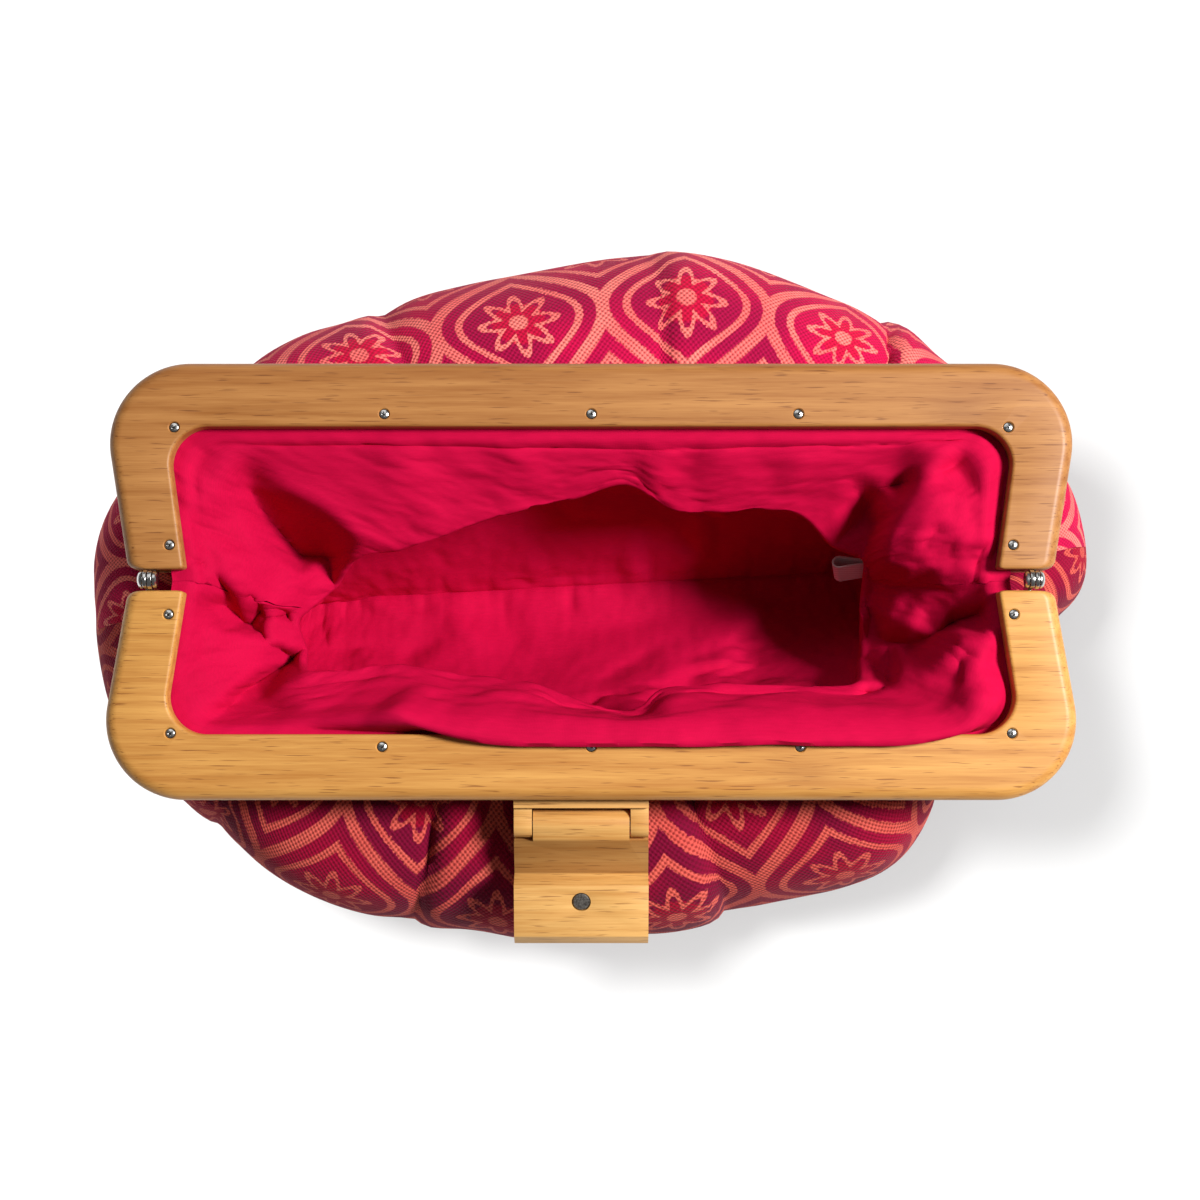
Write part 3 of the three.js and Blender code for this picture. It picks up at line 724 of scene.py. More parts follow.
# %% Cut and place the halves
HALF_TURN = Matrix.Rotation(math.pi, 4, "Z")
TURNS = {"back": Matrix.Identity(4), "front": HALF_TURN}
half_cuts = join_shapes([*screw_holes(), leaf_slot(INNER_LEAF_X), leaf_slot(OUTER_LEAF_X)])
own_cuts = {"back": keeper_hole(), "front": clasp_rebate()}
for side, turn in TURNS.items():
    half = add_piece(f"wooden_{side}_half", moved(half_shape, turn))
    combine(half, join_shapes([moved(half_cuts, turn), own_cuts[side]]), "DIFFERENCE")
    dress(half, frame_wood_with_painted_shade[side], "bag", "wood", f"frame_{side}")

# %% [markdown]
# ## Nickel plate
# Screws, rivets and hinge leaves are bright nickel, and the clasp's magnet is a darker, duller metal.
# A metal needs little colour: fine scratches in the roughness and a slight warm and cool mottling are
# what make it look handled.

# %% Metal finishes


def nickel_finish():
    finish = Finish("nickel_plate", Metallic=1.0)
    spot = finish.place()
    mottle = finish.noise(spot, 0.9, 3.0)
    scratch = finish.noise(finish.scaled(spot, (0.4, 6, 6)), 1.2, 2.0)
    finish.set("Base Color", finish.mix(mottle, linear("#b9b8b6"), linear("#e2e1de")))
    finish.set("Roughness", scratch * 0.2 + 0.12)
    finish.bump(scratch, 0.01, 0.4)
    return finish.material


def magnet_finish():
    finish = Finish("dark_magnet", Metallic=0.75)
    mottle = finish.noise(finish.place(), 1.6, 4.0, 0.65)
    finish.set("Base Color", finish.mix(mottle.rise(0.3, 0.7), linear("#4b4540"), linear("#85807a")))
    finish.set("Roughness", mottle * 0.3 + 0.32)
    finish.bump(mottle, 0.04, 0.5)
    return finish.material


nickel = nickel_finish()
magnet_metal = magnet_finish()
print("metals:", nickel.name, magnet_metal.name)

# %% [markdown]
# ## Screws
# Fourteen small cross-head screws hold the cloth in the groove. They are one shape in many places,
# which is what Geometry Nodes are for: a cylinder is domed, a cross is cut out of it, and an instance
# goes on each point of a small point mesh, turned at random from a fixed seed.

# %% Node groups
GEOMETRY = "NodeSocketGeometry"


def node_group(name, sizes):
    """An empty geometry tree with named size inputs in metres, a seed and a material."""
    group = bpy.data.node_groups.new(name, "GeometryNodeTree")
    kinds = {"Geometry": GEOMETRY, **dict.fromkeys(sizes, "NodeSocketFloat")}
    kinds.update({"Seed": "NodeSocketInt", "Material": "NodeSocketMaterial"})
    for label, kind in kinds.items():
        group.interface.new_socket(label, in_out="INPUT", socket_type=kind)
    group.interface.new_socket("Geometry", in_out="OUTPUT", socket_type=GEOMETRY)
    tree = Tree(group)
    inputs = group.nodes.new("NodeGroupInput").outputs
    given = {label: Wire(tree, inputs[label]) for label in kinds}
    return tree, given


def end_group(tree, instances, material):
    """Ends a tree with Realize Instances and Set Material."""
    real = tree.node("GeometryNodeRealizeInstances", None, {"Geometry": instances})
    painted = tree.node("GeometryNodeSetMaterial", None, {"Geometry": real, "Material": material})
    result = tree.group.nodes.new("NodeGroupOutput")
    tree.feed(result.inputs["Geometry"], painted)
    return tree.group


def grow(piece, group, values):
    """Runs a tree on a piece with its inputs set, and keeps the result as a plain mesh."""
    modifier = piece.modifiers.new(group.name, "NODES")
    modifier.node_group = group
    for item in group.interface.items_tree:
        if item.in_out == "INPUT" and item.name in values:
            modifier[item.identifier] = values[item.name]
    return settle(piece)


# %% Screw tree
SCREW = {"Head radius": 1.2, "Head height": 1.1, "Dome": 0.28, "Slot width": 0.36, "Slot depth": 0.6}
HEAD_MESH = {"Vertices": 32, "Side Segments": 3, "Fill Segments": 6}
SLOT_REACH = 1.25


def domed_head(tree, radius, height, dome):
    """A cylinder whose upper half falls away from the middle."""
    sizes = {**HEAD_MESH, "Radius": radius, "Depth": height}
    head = tree.node("GeometryNodeMeshCylinder", None, sizes, "Mesh")
    x, y, z = tree.parts(tree.node("GeometryNodeInputPosition"))
    drop = (x * x + y * y) / (radius * radius) * dome * -1.0
    offset = tree.joined(0, 0, drop * (z > 0.0))
    return tree.node("GeometryNodeSetPosition", None, {"Geometry": head, "Offset": offset})


def slot_cross(tree, radius, height, width, depth):
    """Two crossed bars at the top of the head."""
    length = radius * SLOT_REACH
    sizes = [tree.joined(length, width, depth), tree.joined(width, length, depth)]
    bars = [tree.node("GeometryNodeMeshCube", None, {"Size": size}, "Mesh") for size in sizes]
    cross = tree.node("GeometryNodeMeshBoolean", {"operation": "UNION"}, {"Mesh 2": bars})
    lift = tree.joined(0, 0, height * 0.5)
    return tree.node("GeometryNodeTransform", None, {"Geometry": cross, "Translation": lift})


def screw_group():
    tree, given = node_group("cross_head_screws", SCREW)
    radius, height, dome, width, depth = (given[label] for label in SCREW)
    parts = {
        "Mesh 1": domed_head(tree, radius, height, dome),
        "Mesh 2": slot_cross(tree, radius, height, width, depth),
    }
    slotted = tree.node("GeometryNodeMeshBoolean", {"operation": "DIFFERENCE"}, parts)
    turns = {"Min": (0, 0, 0), "Max": (0, 0, math.pi), "Seed": given["Seed"]}
    spin = tree.node("FunctionNodeRandomValue", {"data_type": "FLOAT_VECTOR"}, turns)
    places = {"Points": given["Geometry"], "Instance": slotted, "Rotation": spin}
    placed = tree.node("GeometryNodeInstanceOnPoints", None, places)
    return end_group(tree, placed, given["Material"])


screw_nodes = screw_group()
print(f"{screw_nodes.name}: {len(screw_nodes.nodes)} nodes")

# %% Place the screws
SCREW_SINK = 0.12
SCREW_SEEDS = {"back": 7, "front": 8}
screw_values = {label: size * MM for label, size in SCREW.items()}
screw_level = FRAME_TOP - SCREW_SINK - SCREW["Head height"] / 2
screw_spots = np.array([(x, y, screw_level) for x, y in screw_places()])
for side, turn in TURNS.items():
    screws = add_piece(f"{side}_screws", moved((screw_spots, []), turn))
    grow(screws, screw_nodes, {**screw_values, "Seed": SCREW_SEEDS[side], "Material": nickel})
    dress(screws, nickel, "bag", "steel", *[f"screw_{side}_{i + 1}" for i in range(len(screw_spots))])

# %% [markdown]
# ## Hinges
# Each hinge is two flat leaves on one rivet. The leaves are stamped from sheet metal, so they are an
# outline in the plane of the leg's end with a thickness: a tang that goes into the wood and a round
# eye. The rivet is a turned profile, with a domed head outside and a smaller one inside.

# %% Leaves and rivets
EYE = {"from_deg": 35.0, "to_deg": 235.0, "steps": 24}
LEAF_EASE = 0.22
RIVET = {"shank": 1.3, "head": 2.6, "head_height": 1.5, "tail": 2.3, "tail_height": 1.0, "tail_ease": 0.35}
DOME_STEPS = 8
ALONG_X = Matrix.Rotation(math.pi / 2, 4, "Y")
HINGE_LIE = Matrix.Translation((0, 0, FRAME_TOP)) @ ALONG_X


def leaf_shape(start):
    neck, shoulder = LEG_END_Y - OVERCUT, LEG_END_Y - CLEARANCE
    outline = [
        (LEAF["tang_end"], LEAF["tang_bottom"]),
        (LEAF["tang_end"], LEAF["tang_top"]),
        (shoulder, LEAF["tang_top"]),
        *arc_points((0, 0), LEAF["eye"], EYE["from_deg"], EYE["to_deg"], EYE["steps"]),
        (neck, LEAF["tang_bottom"]),
    ]
    raised = [(y, z + FRAME_TOP) for y, z in outline]
    return extrude_x(raised, start, start + LEAF["thick"])


def rivet_shape():
    """Rivet of the left hinge, along X."""
    head_face = -LEAF["start"] - LEAF["thick"] - CLEARANCE
    tail_face = INNER_LEAF_X + LEAF["thick"] + CLEARANCE
    dome = [
        (RIVET["head"] * math.sin(a), head_face - RIVET["head_height"] * math.cos(a))
        for a in np.linspace(0, math.pi / 2, DOME_STEPS + 1)
    ]
    tail_end = tail_face + RIVET["tail_height"]
    tail = [
        (RIVET["shank"], head_face),
        (RIVET["shank"], tail_face),
        (RIVET["tail"], tail_face),
        (RIVET["tail"], tail_end - RIVET["tail_ease"]),
        (RIVET["tail"] - RIVET["tail_ease"], tail_end),
        (0, tail_end),
    ]
    return moved(turned(dome + tail), HINGE_LIE)


def eye_bore():
    reach = LEAF["start"] + 2 * LEAF["thick"] + OVERCUT
    return moved(rod(RIVET["shank"] + CLEARANCE, -reach, reach), HINGE_LIE)


hinge_sides = {"back": ("left", "right"), "front": ("right", "left")}
for side, turn in TURNS.items():
    for hinge, start in zip(hinge_sides[side], (INNER_LEAF_X, OUTER_LEAF_X)):
        leaf = add_piece(f"{hinge}_{side}_leaf", moved(leaf_shape(start), turn))
        combine(leaf, eye_bore(), "DIFFERENCE")
        ease(leaf, LEAF_EASE)
        dress(leaf, nickel, "bag", "steel", f"hinge_leaf_{hinge}_{side}")
for hinge, turn in zip(hinge_sides["back"], TURNS.values()):
    rivet = add_piece(f"{hinge}_rivet", moved(rivet_shape(), turn))
    dress(rivet, nickel, "bag", "steel", f"hinge_rivet_{hinge}")

# %% [markdown]
# ## Clasp
# The clasp is two wooden pieces on a pin. The base is a block let into the bar, with a round ear at
# each end. The lever has a barrel between the ears, a slope, a step and a plate that holds the
# magnet. Both are sawn to one outline, so they are outlines extruded along X and joined, and a bevel
# then eases the edges. The slope gets painted shade: it is painted darker than the other faces.

# %% Clasp base, pin and keeper
BARREL_WIDTH = 27.2
CLASP_AXIS = (-68.1, 85.7)
CLASP_LIE = Matrix.Translation((CLASP_X, *CLASP_AXIS))
EAR = {"radius": 4.0, "steps": 20}
PIN_RADIUS = 1.2
CLASP_EASE = 0.45
# Span of Y over the lever's slope that gets painted shade
PAINTED_SHADE_SLOPE = (-82.4, -72.8)
clasp_wood = wood_finish("clasp_wood", "#dcaa64", "#bb803c", PAINTED_SHADE_SLOPE)


def pin_shape(radius, length):
    return moved(rod(radius, -length / 2, length / 2), CLASP_LIE @ ALONG_X)


def clasp_base():
    half = CLASP_WIDTH / 2
    low = (CLASP_X - half, BASE["face"], BASE["bottom"])
    high = (CLASP_X + half, BASE["inner"], BASE["top"])
    base = add_piece("clasp_block", block(low, high))
    root, z = BASE["face"] + 2 * OVERCUT, CLASP_AXIS[1]
    ear = [(root, z - EAR["radius"]), (root, z + EAR["radius"])]
    ear += arc_points(CLASP_AXIS, EAR["radius"], 90, 270, EAR["steps"])
    width = (CLASP_WIDTH - BARREL_WIDTH) / 2 - CLEARANCE
    starts = (CLASP_X - half, CLASP_X + half - width)
    combine(base, join_shapes([extrude_x(ear, start, start + width) for start in starts]), "UNION")
    combine(base, pin_shape(PIN_RADIUS + CLEARANCE, CLASP_WIDTH + 2 * OVERCUT), "DIFFERENCE")
    return ease(base, CLASP_EASE)


def disc_shape():
    """A flat disc with an eased rim, from z = 0 upwards."""
    radius, thick, rim = MAGNET["radius"], MAGNET["thick"], MAGNET["rim"]
    return turned([(0, 0), (radius, 0), (radius, thick - rim), (radius - rim, thick), (0, thick)])


dress(clasp_base(), clasp_wood, "bag", "wood", "clasp_base")
pin = add_piece("clasp_axle", pin_shape(PIN_RADIUS, CLASP_WIDTH - 2 * CLEARANCE))
dress(pin, nickel, "bag", "steel", "clasp_pin")
keeper_place = (CLASP_X, OUTER_EDGE["bar_y"] - MAGNET["thick"], FRAME_MIDDLE)
keeper = add_piece("keeper", moved(disc_shape(), Matrix.Translation(keeper_place) @ TO_BACK))
dress(keeper, nickel, "bag", "steel", "keeper_disc")

# %% Clasp lever and magnet
LEVER = {"shoulder": 4.6, "foot": 14.4, "step": 16.4, "plate_end": 31.5, "end": 34.5}
LEVER_PLATE = 6.1
LEVER_UNDER = -4.5
LEVER_EASE = 1.0
LEVER_REST_DEG = -14.0
BARREL = {"radius": 3.9, "from_deg": 75, "to_deg": 270, "steps": 24}
lever_lie = CLASP_LIE @ Matrix.Rotation(math.radians(-LEVER_REST_DEG), 4, "X")


def slope_height(out):
    """Height of the lever's slope at a distance out from the pin."""
    return BARREL["radius"] * (1 - out / LEVER["foot"])


def lever_outline():
    """The flap's side outline: distance out from the pin, and height."""
    return [
        (LEVER["shoulder"], LEVER_UNDER),
        (LEVER["end"] - LEVER_EASE, LEVER_UNDER),
        (LEVER["end"], LEVER_UNDER + LEVER_EASE),
        (LEVER["end"], LEVER_PLATE / 2),
        (LEVER["plate_end"], LEVER_PLATE),
        (LEVER["step"], LEVER_PLATE),
        (LEVER["foot"], 0),
        (LEVER["shoulder"], slope_height(LEVER["shoulder"])),
    ]


def neck_outline():
    end = LEVER["shoulder"] + OVERCUT
    return [
        *arc_points((0, 0), BARREL["radius"], BARREL["from_deg"], BARREL["to_deg"], BARREL["steps"]),
        (LEVER["shoulder"], LEVER_UNDER),
        (end, LEVER_UNDER),
        (end, slope_height(end)),
    ]


def clasp_lever():
    half, half_barrel = CLASP_WIDTH / 2, BARREL_WIDTH / 2
    outward = lever_lie @ HALF_TURN
    flap = add_piece("clasp_flap", moved(extrude_x(lever_outline(), -half, half), outward))
    neck = extrude_x(neck_outline(), -half_barrel, half_barrel)
    combine(flap, moved(neck, outward), "UNION")
    seat = lever_lie @ Matrix.Translation((0, -MAGNET["reach"], LEVER_PLATE))
    bore = pin_shape(PIN_RADIUS + CLEARANCE, CLASP_WIDTH)
    combine(flap, join_shapes([moved(disc_recess(), seat), bore]), "DIFFERENCE")
    return ease(flap, CLASP_EASE)


dress(clasp_lever(), clasp_wood, "clasp", "wood", "clasp_lever")
magnet_lie = lever_lie @ Matrix.Translation((0, -MAGNET["reach"], LEVER_PLATE - MAGNET["thick"]))
magnet = add_piece("flap_magnet", moved(disc_shape(), magnet_lie))
dress(magnet, magnet_metal, "clasp", "magnet", "lever_magnet")

# %% [markdown]
# ## The pouch's surface
# The cloth leaves the groove, rolls over into the throat, turns back under itself, swells into the
# belly and lies flat on the table. It could be sculpted by hand, but a rule is easier to read and to
# change: a table of sections, from the groove down to the base seam, gives its size at each height,
# and smooth curves run through them. Columns go round the whole pouch, along the back panel from left
# to right and home along the front panel.

# %% Sections
MOUTH_X, MOUTH_Y = INNER_EDGE["bar_x"], INNER_EDGE["bar_y"]
TUCK, LIP_INSET = 4.5, 1.4
CANVAS_WALL, LINING_WALL, CLOTH_GAP = 1.4, 0.8, 0.2
BASE_HEIGHT = CLOTH_GAP + CANVAS_WALL
# Half sizes and heights, then roundness, turn in degrees, strength of the folds, and rows to the next
SIZE_NAMES = ["x", "back", "front", "side_z", "back_z", "front_z"]
SECTION_NAMES = [*SIZE_NAMES, "round", "turn", "mouth", "belly", "rows"]
SECTIONS = {
    "groove": (MOUTH_X + TUCK, MOUTH_Y + TUCK, MOUTH_Y + TUCK, 93, 93, 93, 0, 0, 0, 0, 3),
    "lip": (MOUTH_X - LIP_INSET, MOUTH_Y - LIP_INSET, MOUTH_Y - LIP_INSET, 93, 93, 93, 0, 0, 0, 0, 14),
    "brow": (104, 33.5, 36, 91.6, 91.6, 91.8, 0.1, 0, 0.35, 0, 11),
    "turn": (90, 27, 31.5, 80, 87.6, 88, 0.25, 0, 0.8, 0, 9),
    "throat": (82, 23.5, 29, 69, 81, 81, 0.35, 0, 1, 0, 8),
    "under": (86, 30, 35, 62, 75.5, 74, 0.45, 0.5, 0.7, 0.1, 8),
    "hollow": (103, 45, 47, 66, 78.5, 74.5, 0.55, 1.2, 0.3, 0.35, 9),
    "shoulder": (120.5, 64, 65, 76, 82.5, 76, 0.8, 3, 0.1, 0.7, 11),
    "upper": (139, 87.5, 92.5, 73, 75, 72, 0.93, 4.5, 0, 1, 11),
    "belly": (147.8, 101, 104.2, 50, 50, 48, 1, 5, 0, 1, 10),
    "lower": (142.5, 96.5, 101, 27, 27, 27, 1, 5, 0, 0.85, 10),
    "heel": (131.5, 84.5, 88, 9, 9, 9, 0.96, 4.5, 0, 0.5, 9),
    "base_edge": (118, 70, 72, BASE_HEIGHT, BASE_HEIGHT, BASE_HEIGHT, 0.9, 4, 0, 0.2, 8),
    "base_middle": (106, 36, 36, BASE_HEIGHT, BASE_HEIGHT, BASE_HEIGHT, 0.87, 3.5, 0, 0, 8),
    "base_seam": (95, 0, 0, BASE_HEIGHT, BASE_HEIGHT, BASE_HEIGHT, 0.85, 3, 0, 0, 0),
}
SECTION_ROWS = [dict(zip(SECTION_NAMES, row)) for row in SECTIONS.values()]
SECTION_AT = {name: at for at, name in enumerate(SECTIONS)}


def along_sections(values, at):
    """Values given at some sections, read off between them."""
    return np.interp(at, [SECTION_AT[name] for name in values], list(values.values()))


print("sections:", ", ".join(SECTIONS))

# %% Folds and throat of each panel
# Folds: share of the way from left to right, spread, and height at the mouth and the belly
BACK_FOLDS = [
    (0.1, 0.06, -3, 3),
    (0.22, 0.05, -6, -1.5),
    (0.357, 0.035, -3, -3),
    (0.46, 0.07, 0, -3.5),
    (0.57, 0.045, 4, 2),
    (0.68, 0.04, -2, -1.5),
    (0.79, 0.05, 3, -5),
    (0.9, 0.04, -5, -1),
]
FRONT_FOLDS = [
    (0.09, 0.05, 3, 1),
    (0.18, 0.05, -4, -2),
    (0.3, 0.05, 2, 1),
    (0.403, 0.035, -2, -3),
    (0.49, 0.05, 2, -2.5),
    (0.577, 0.035, -2, -2),
    (0.68, 0.04, 2, 3),
    (0.775, 0.05, -2, -9),
    (0.915, 0.045, -4, -8.5),
]
# Edge of the throat seen from above: share, x, y
BACK_THROAT = [
    (0.0, -84.6, -5.6),
    (0.07, -77.0, 1.6),
    (0.17, -66.9, 9.7),
    (0.24, -55.2, 11.4),
    (0.31, -41.2, 15.9),
    (0.38, -25.0, 21.2),
    (0.45, -6.0, 25.4),
    (0.52, 11.2, 29.2),
    (0.54, 15.4, 27.4),
    (0.56, 19.3, 24.7),
    (0.585, 25.3, 22.5),
    (0.63, 37.2, 22.2),
    (0.71, 58.1, 22.4),
    (0.8, 71.3, 13.1),
    (0.9, 80.6, 9.1),
    (1.0, 81.5, 3.4),
]
FRONT_THROAT = [
    (0.0, -84.6, -5.6),
    (0.03, -86.6, -8.1),
    (0.12, -85.0, -18.1),
    (0.2, -82.6, -25.3),
    (0.27, -70.6, -25.3),
    (0.33, -54.8, -23.9),
    (0.39, -34.6, -27.0),
    (0.44, -15.7, -29.6),
    (0.475, -6.0, -33.4),
    (0.505, 4.0, -36.6),
    (0.525, 9.8, -37.6),
    (0.545, 15.4, -35.4),
    (0.565, 19.3, -31.6),
    (0.6, 33.5, -29.6),
    (0.655, 54.1, -29.6),
    (0.74, 77.0, -28.7),
    (0.79, 80.8, -21.7),
    (0.88, 81.1, -9.8),
    (1.0, 81.5, 3.4),
]
PANELS = {"back": (1, BACK_FOLDS, BACK_THROAT), "front": (-1, FRONT_FOLDS, FRONT_THROAT)}

# %% Smooth curves
TINY = 1e-9


def slopes(at, values):
    """Tangents of a smooth curve through values at the given places."""
    gaps = np.diff(at)[:, None]
    steps = np.diff(values, axis=0) / gaps
    inner = (steps[:-1] * gaps[1:] + steps[1:] * gaps[:-1]) / (gaps[:-1] + gaps[1:])
    return np.concatenate([steps[:1], inner, steps[-1:]])


def curve_through(at, values, wanted):
    """Points of the smooth curve at the wanted places."""
    at, values = np.asarray(at, float), np.asarray(values, float)
    tangents = slopes(at, values)
    span = np.clip(np.searchsorted(at, wanted, side="right") - 1, 0, len(at) - 2)
    gap = at[span + 1] - at[span]
    t = ((wanted - at[span]) / gap)[:, None]
    gap = gap[:, None]
    return (
        (2 * t**3 - 3 * t**2 + 1) * values[span]
        + (t**3 - 2 * t**2 + t) * gap * tangents[span]
        + (3 * t**2 - 2 * t**3) * values[span + 1]
        + (t**3 - t**2) * gap * tangents[span + 1]
    )


def soft_step(value, low, high):
    share = np.clip((value - low) / (high - low), 0, 1)
    return share * share * (3 - 2 * share)


def running_length(points):
    """Mean distance along the rows of a grid, from its first row."""
    run = np.linalg.norm(np.diff(points, axis=0), axis=2).mean(axis=1)
    return np.concatenate([[0], np.cumsum(run)])


def unit(vectors):
    return vectors / np.maximum(np.linalg.norm(vectors, axis=-1, keepdims=True), TINY)


# %% Panels between the side seams
SEAM_HALF = 0.03
SEAM_TAPER = 0.06
MOUTH_STEPS = 12


def mouth_outline(shares):
    """The frame's mouth from the left side seam to the right one, with a half size of 1."""
    arc = corner_arc(INNER_EDGE, MOUTH_STEPS)
    half = np.concatenate([[(-INNER_EDGE["leg_x"], 0)], arc])
    path = np.concatenate([half, half[::-1] * (-1, 1)]) / (MOUTH_X, MOUTH_Y)
    run = np.concatenate([[0], np.cumsum(np.linalg.norm(np.diff(path, axis=0), axis=1))])
    return np.stack([np.interp(shares, run / run[-1], path[:, axis]) for axis in (0, 1)], axis=1)


def section_points(panel, row, shares):
    """Points of one panel on one section, before the throat is drawn in."""
    side, folds, _ = PANELS[panel]
    arc = np.stack([-np.cos(np.pi * shares), np.sin(np.pi * shares)], axis=1)
    plan = mouth_outline(shares) * (1 - row["round"]) + arc * row["round"]
    place = plan * (row["x"], row[panel])
    taper = np.minimum(1, np.minimum(shares, 1 - shares) / SEAM_TAPER)
    depth = np.zeros_like(shares)
    for at, spread, mouth, belly in folds:
        near = np.exp(-(((shares - at) / spread) ** 2))
        depth += taper * near * (mouth * row["mouth"] + belly * row["belly"])
    place += unit(arc * (row[panel], row["x"])) * depth[:, None]
    height = row["side_z"] + (row[f"{panel}_z"] - row["side_z"]) * arc[:, 1]
    y = side * (SEAM_HALF + np.maximum(place[:, 1], 0))
    points = np.stack([place[:, 0], y, height], axis=1)
    angle = math.radians(row["turn"])
    turn = np.array([[math.cos(angle), -math.sin(angle)], [math.sin(angle), math.cos(angle)]])
    points[:, :2] = points[:, :2] @ turn.T
    return points


def panel_sections(panel, shares, rows):
    """All sections of a panel, with the throat drawn to its edge in plan."""
    side, _, throat = PANELS[panel]
    table = np.array(throat)
    target = curve_through(table[:, 0], table[:, 1:], shares) + (0, side * SEAM_HALF)
    sections = np.array([section_points(panel, row, shares) for row in rows])
    drawn = target - sections[SECTION_AT["throat"]][:, :2]
    for points, row in zip(sections, rows):
        points[:, :2] += row["mouth"] * drawn
    return sections


# %% Pouch grid
COLUMNS = 176
BASE_SHIFT = 5.5


def pouch_rows():
    """Where each row lies between the sections: whole numbers are the sections."""
    rows = [np.linspace(i, i + 1, row["rows"], endpoint=False) for i, row in enumerate(SECTION_ROWS[:-1])]
    return np.concatenate([*rows, [len(SECTION_ROWS) - 1]])


def pouch_grid(rows):
    """The middle surface as an array of rows, columns round the pouch, and x, y, z."""
    shares = np.linspace(0, 1, COLUMNS + 1)
    back = panel_sections("back", shares, rows)
    front = panel_sections("front", shares, rows)[:, ::-1]
    sections = np.concatenate([back, front], axis=1)
    at = running_length(sections)
    wanted = np.interp(row_at, np.arange(len(at)), at)
    flat = sections.reshape(len(sections), -1)
    grid = curve_through(at, flat, wanted).reshape(len(wanted), -1, 3)
    grid[..., 2] = np.clip(grid[..., 2], BASE_HEIGHT, None)
    share = along_sections({"lower": 0, "base_seam": 1}, row_at)
    grid[..., 1] += BASE_SHIFT * (share * share)[:, None]
    return grid


row_at = pouch_rows()
smooth_grid = pouch_grid(SECTION_ROWS)
print("pouch grid:", smooth_grid.shape)

# %% [markdown]
# ## The gathered mouth
# Between the frame and the throat the cloth is bunched up, and its folds run out from the two hinges.
# No simulation would fold it in just these places, so a few points with their heights mark the ridges,
# the valleys and the throat's edge. They are joined into triangles, as a folded sheet of paper would
# be, and the height of any place is read off the triangle that it lies in.

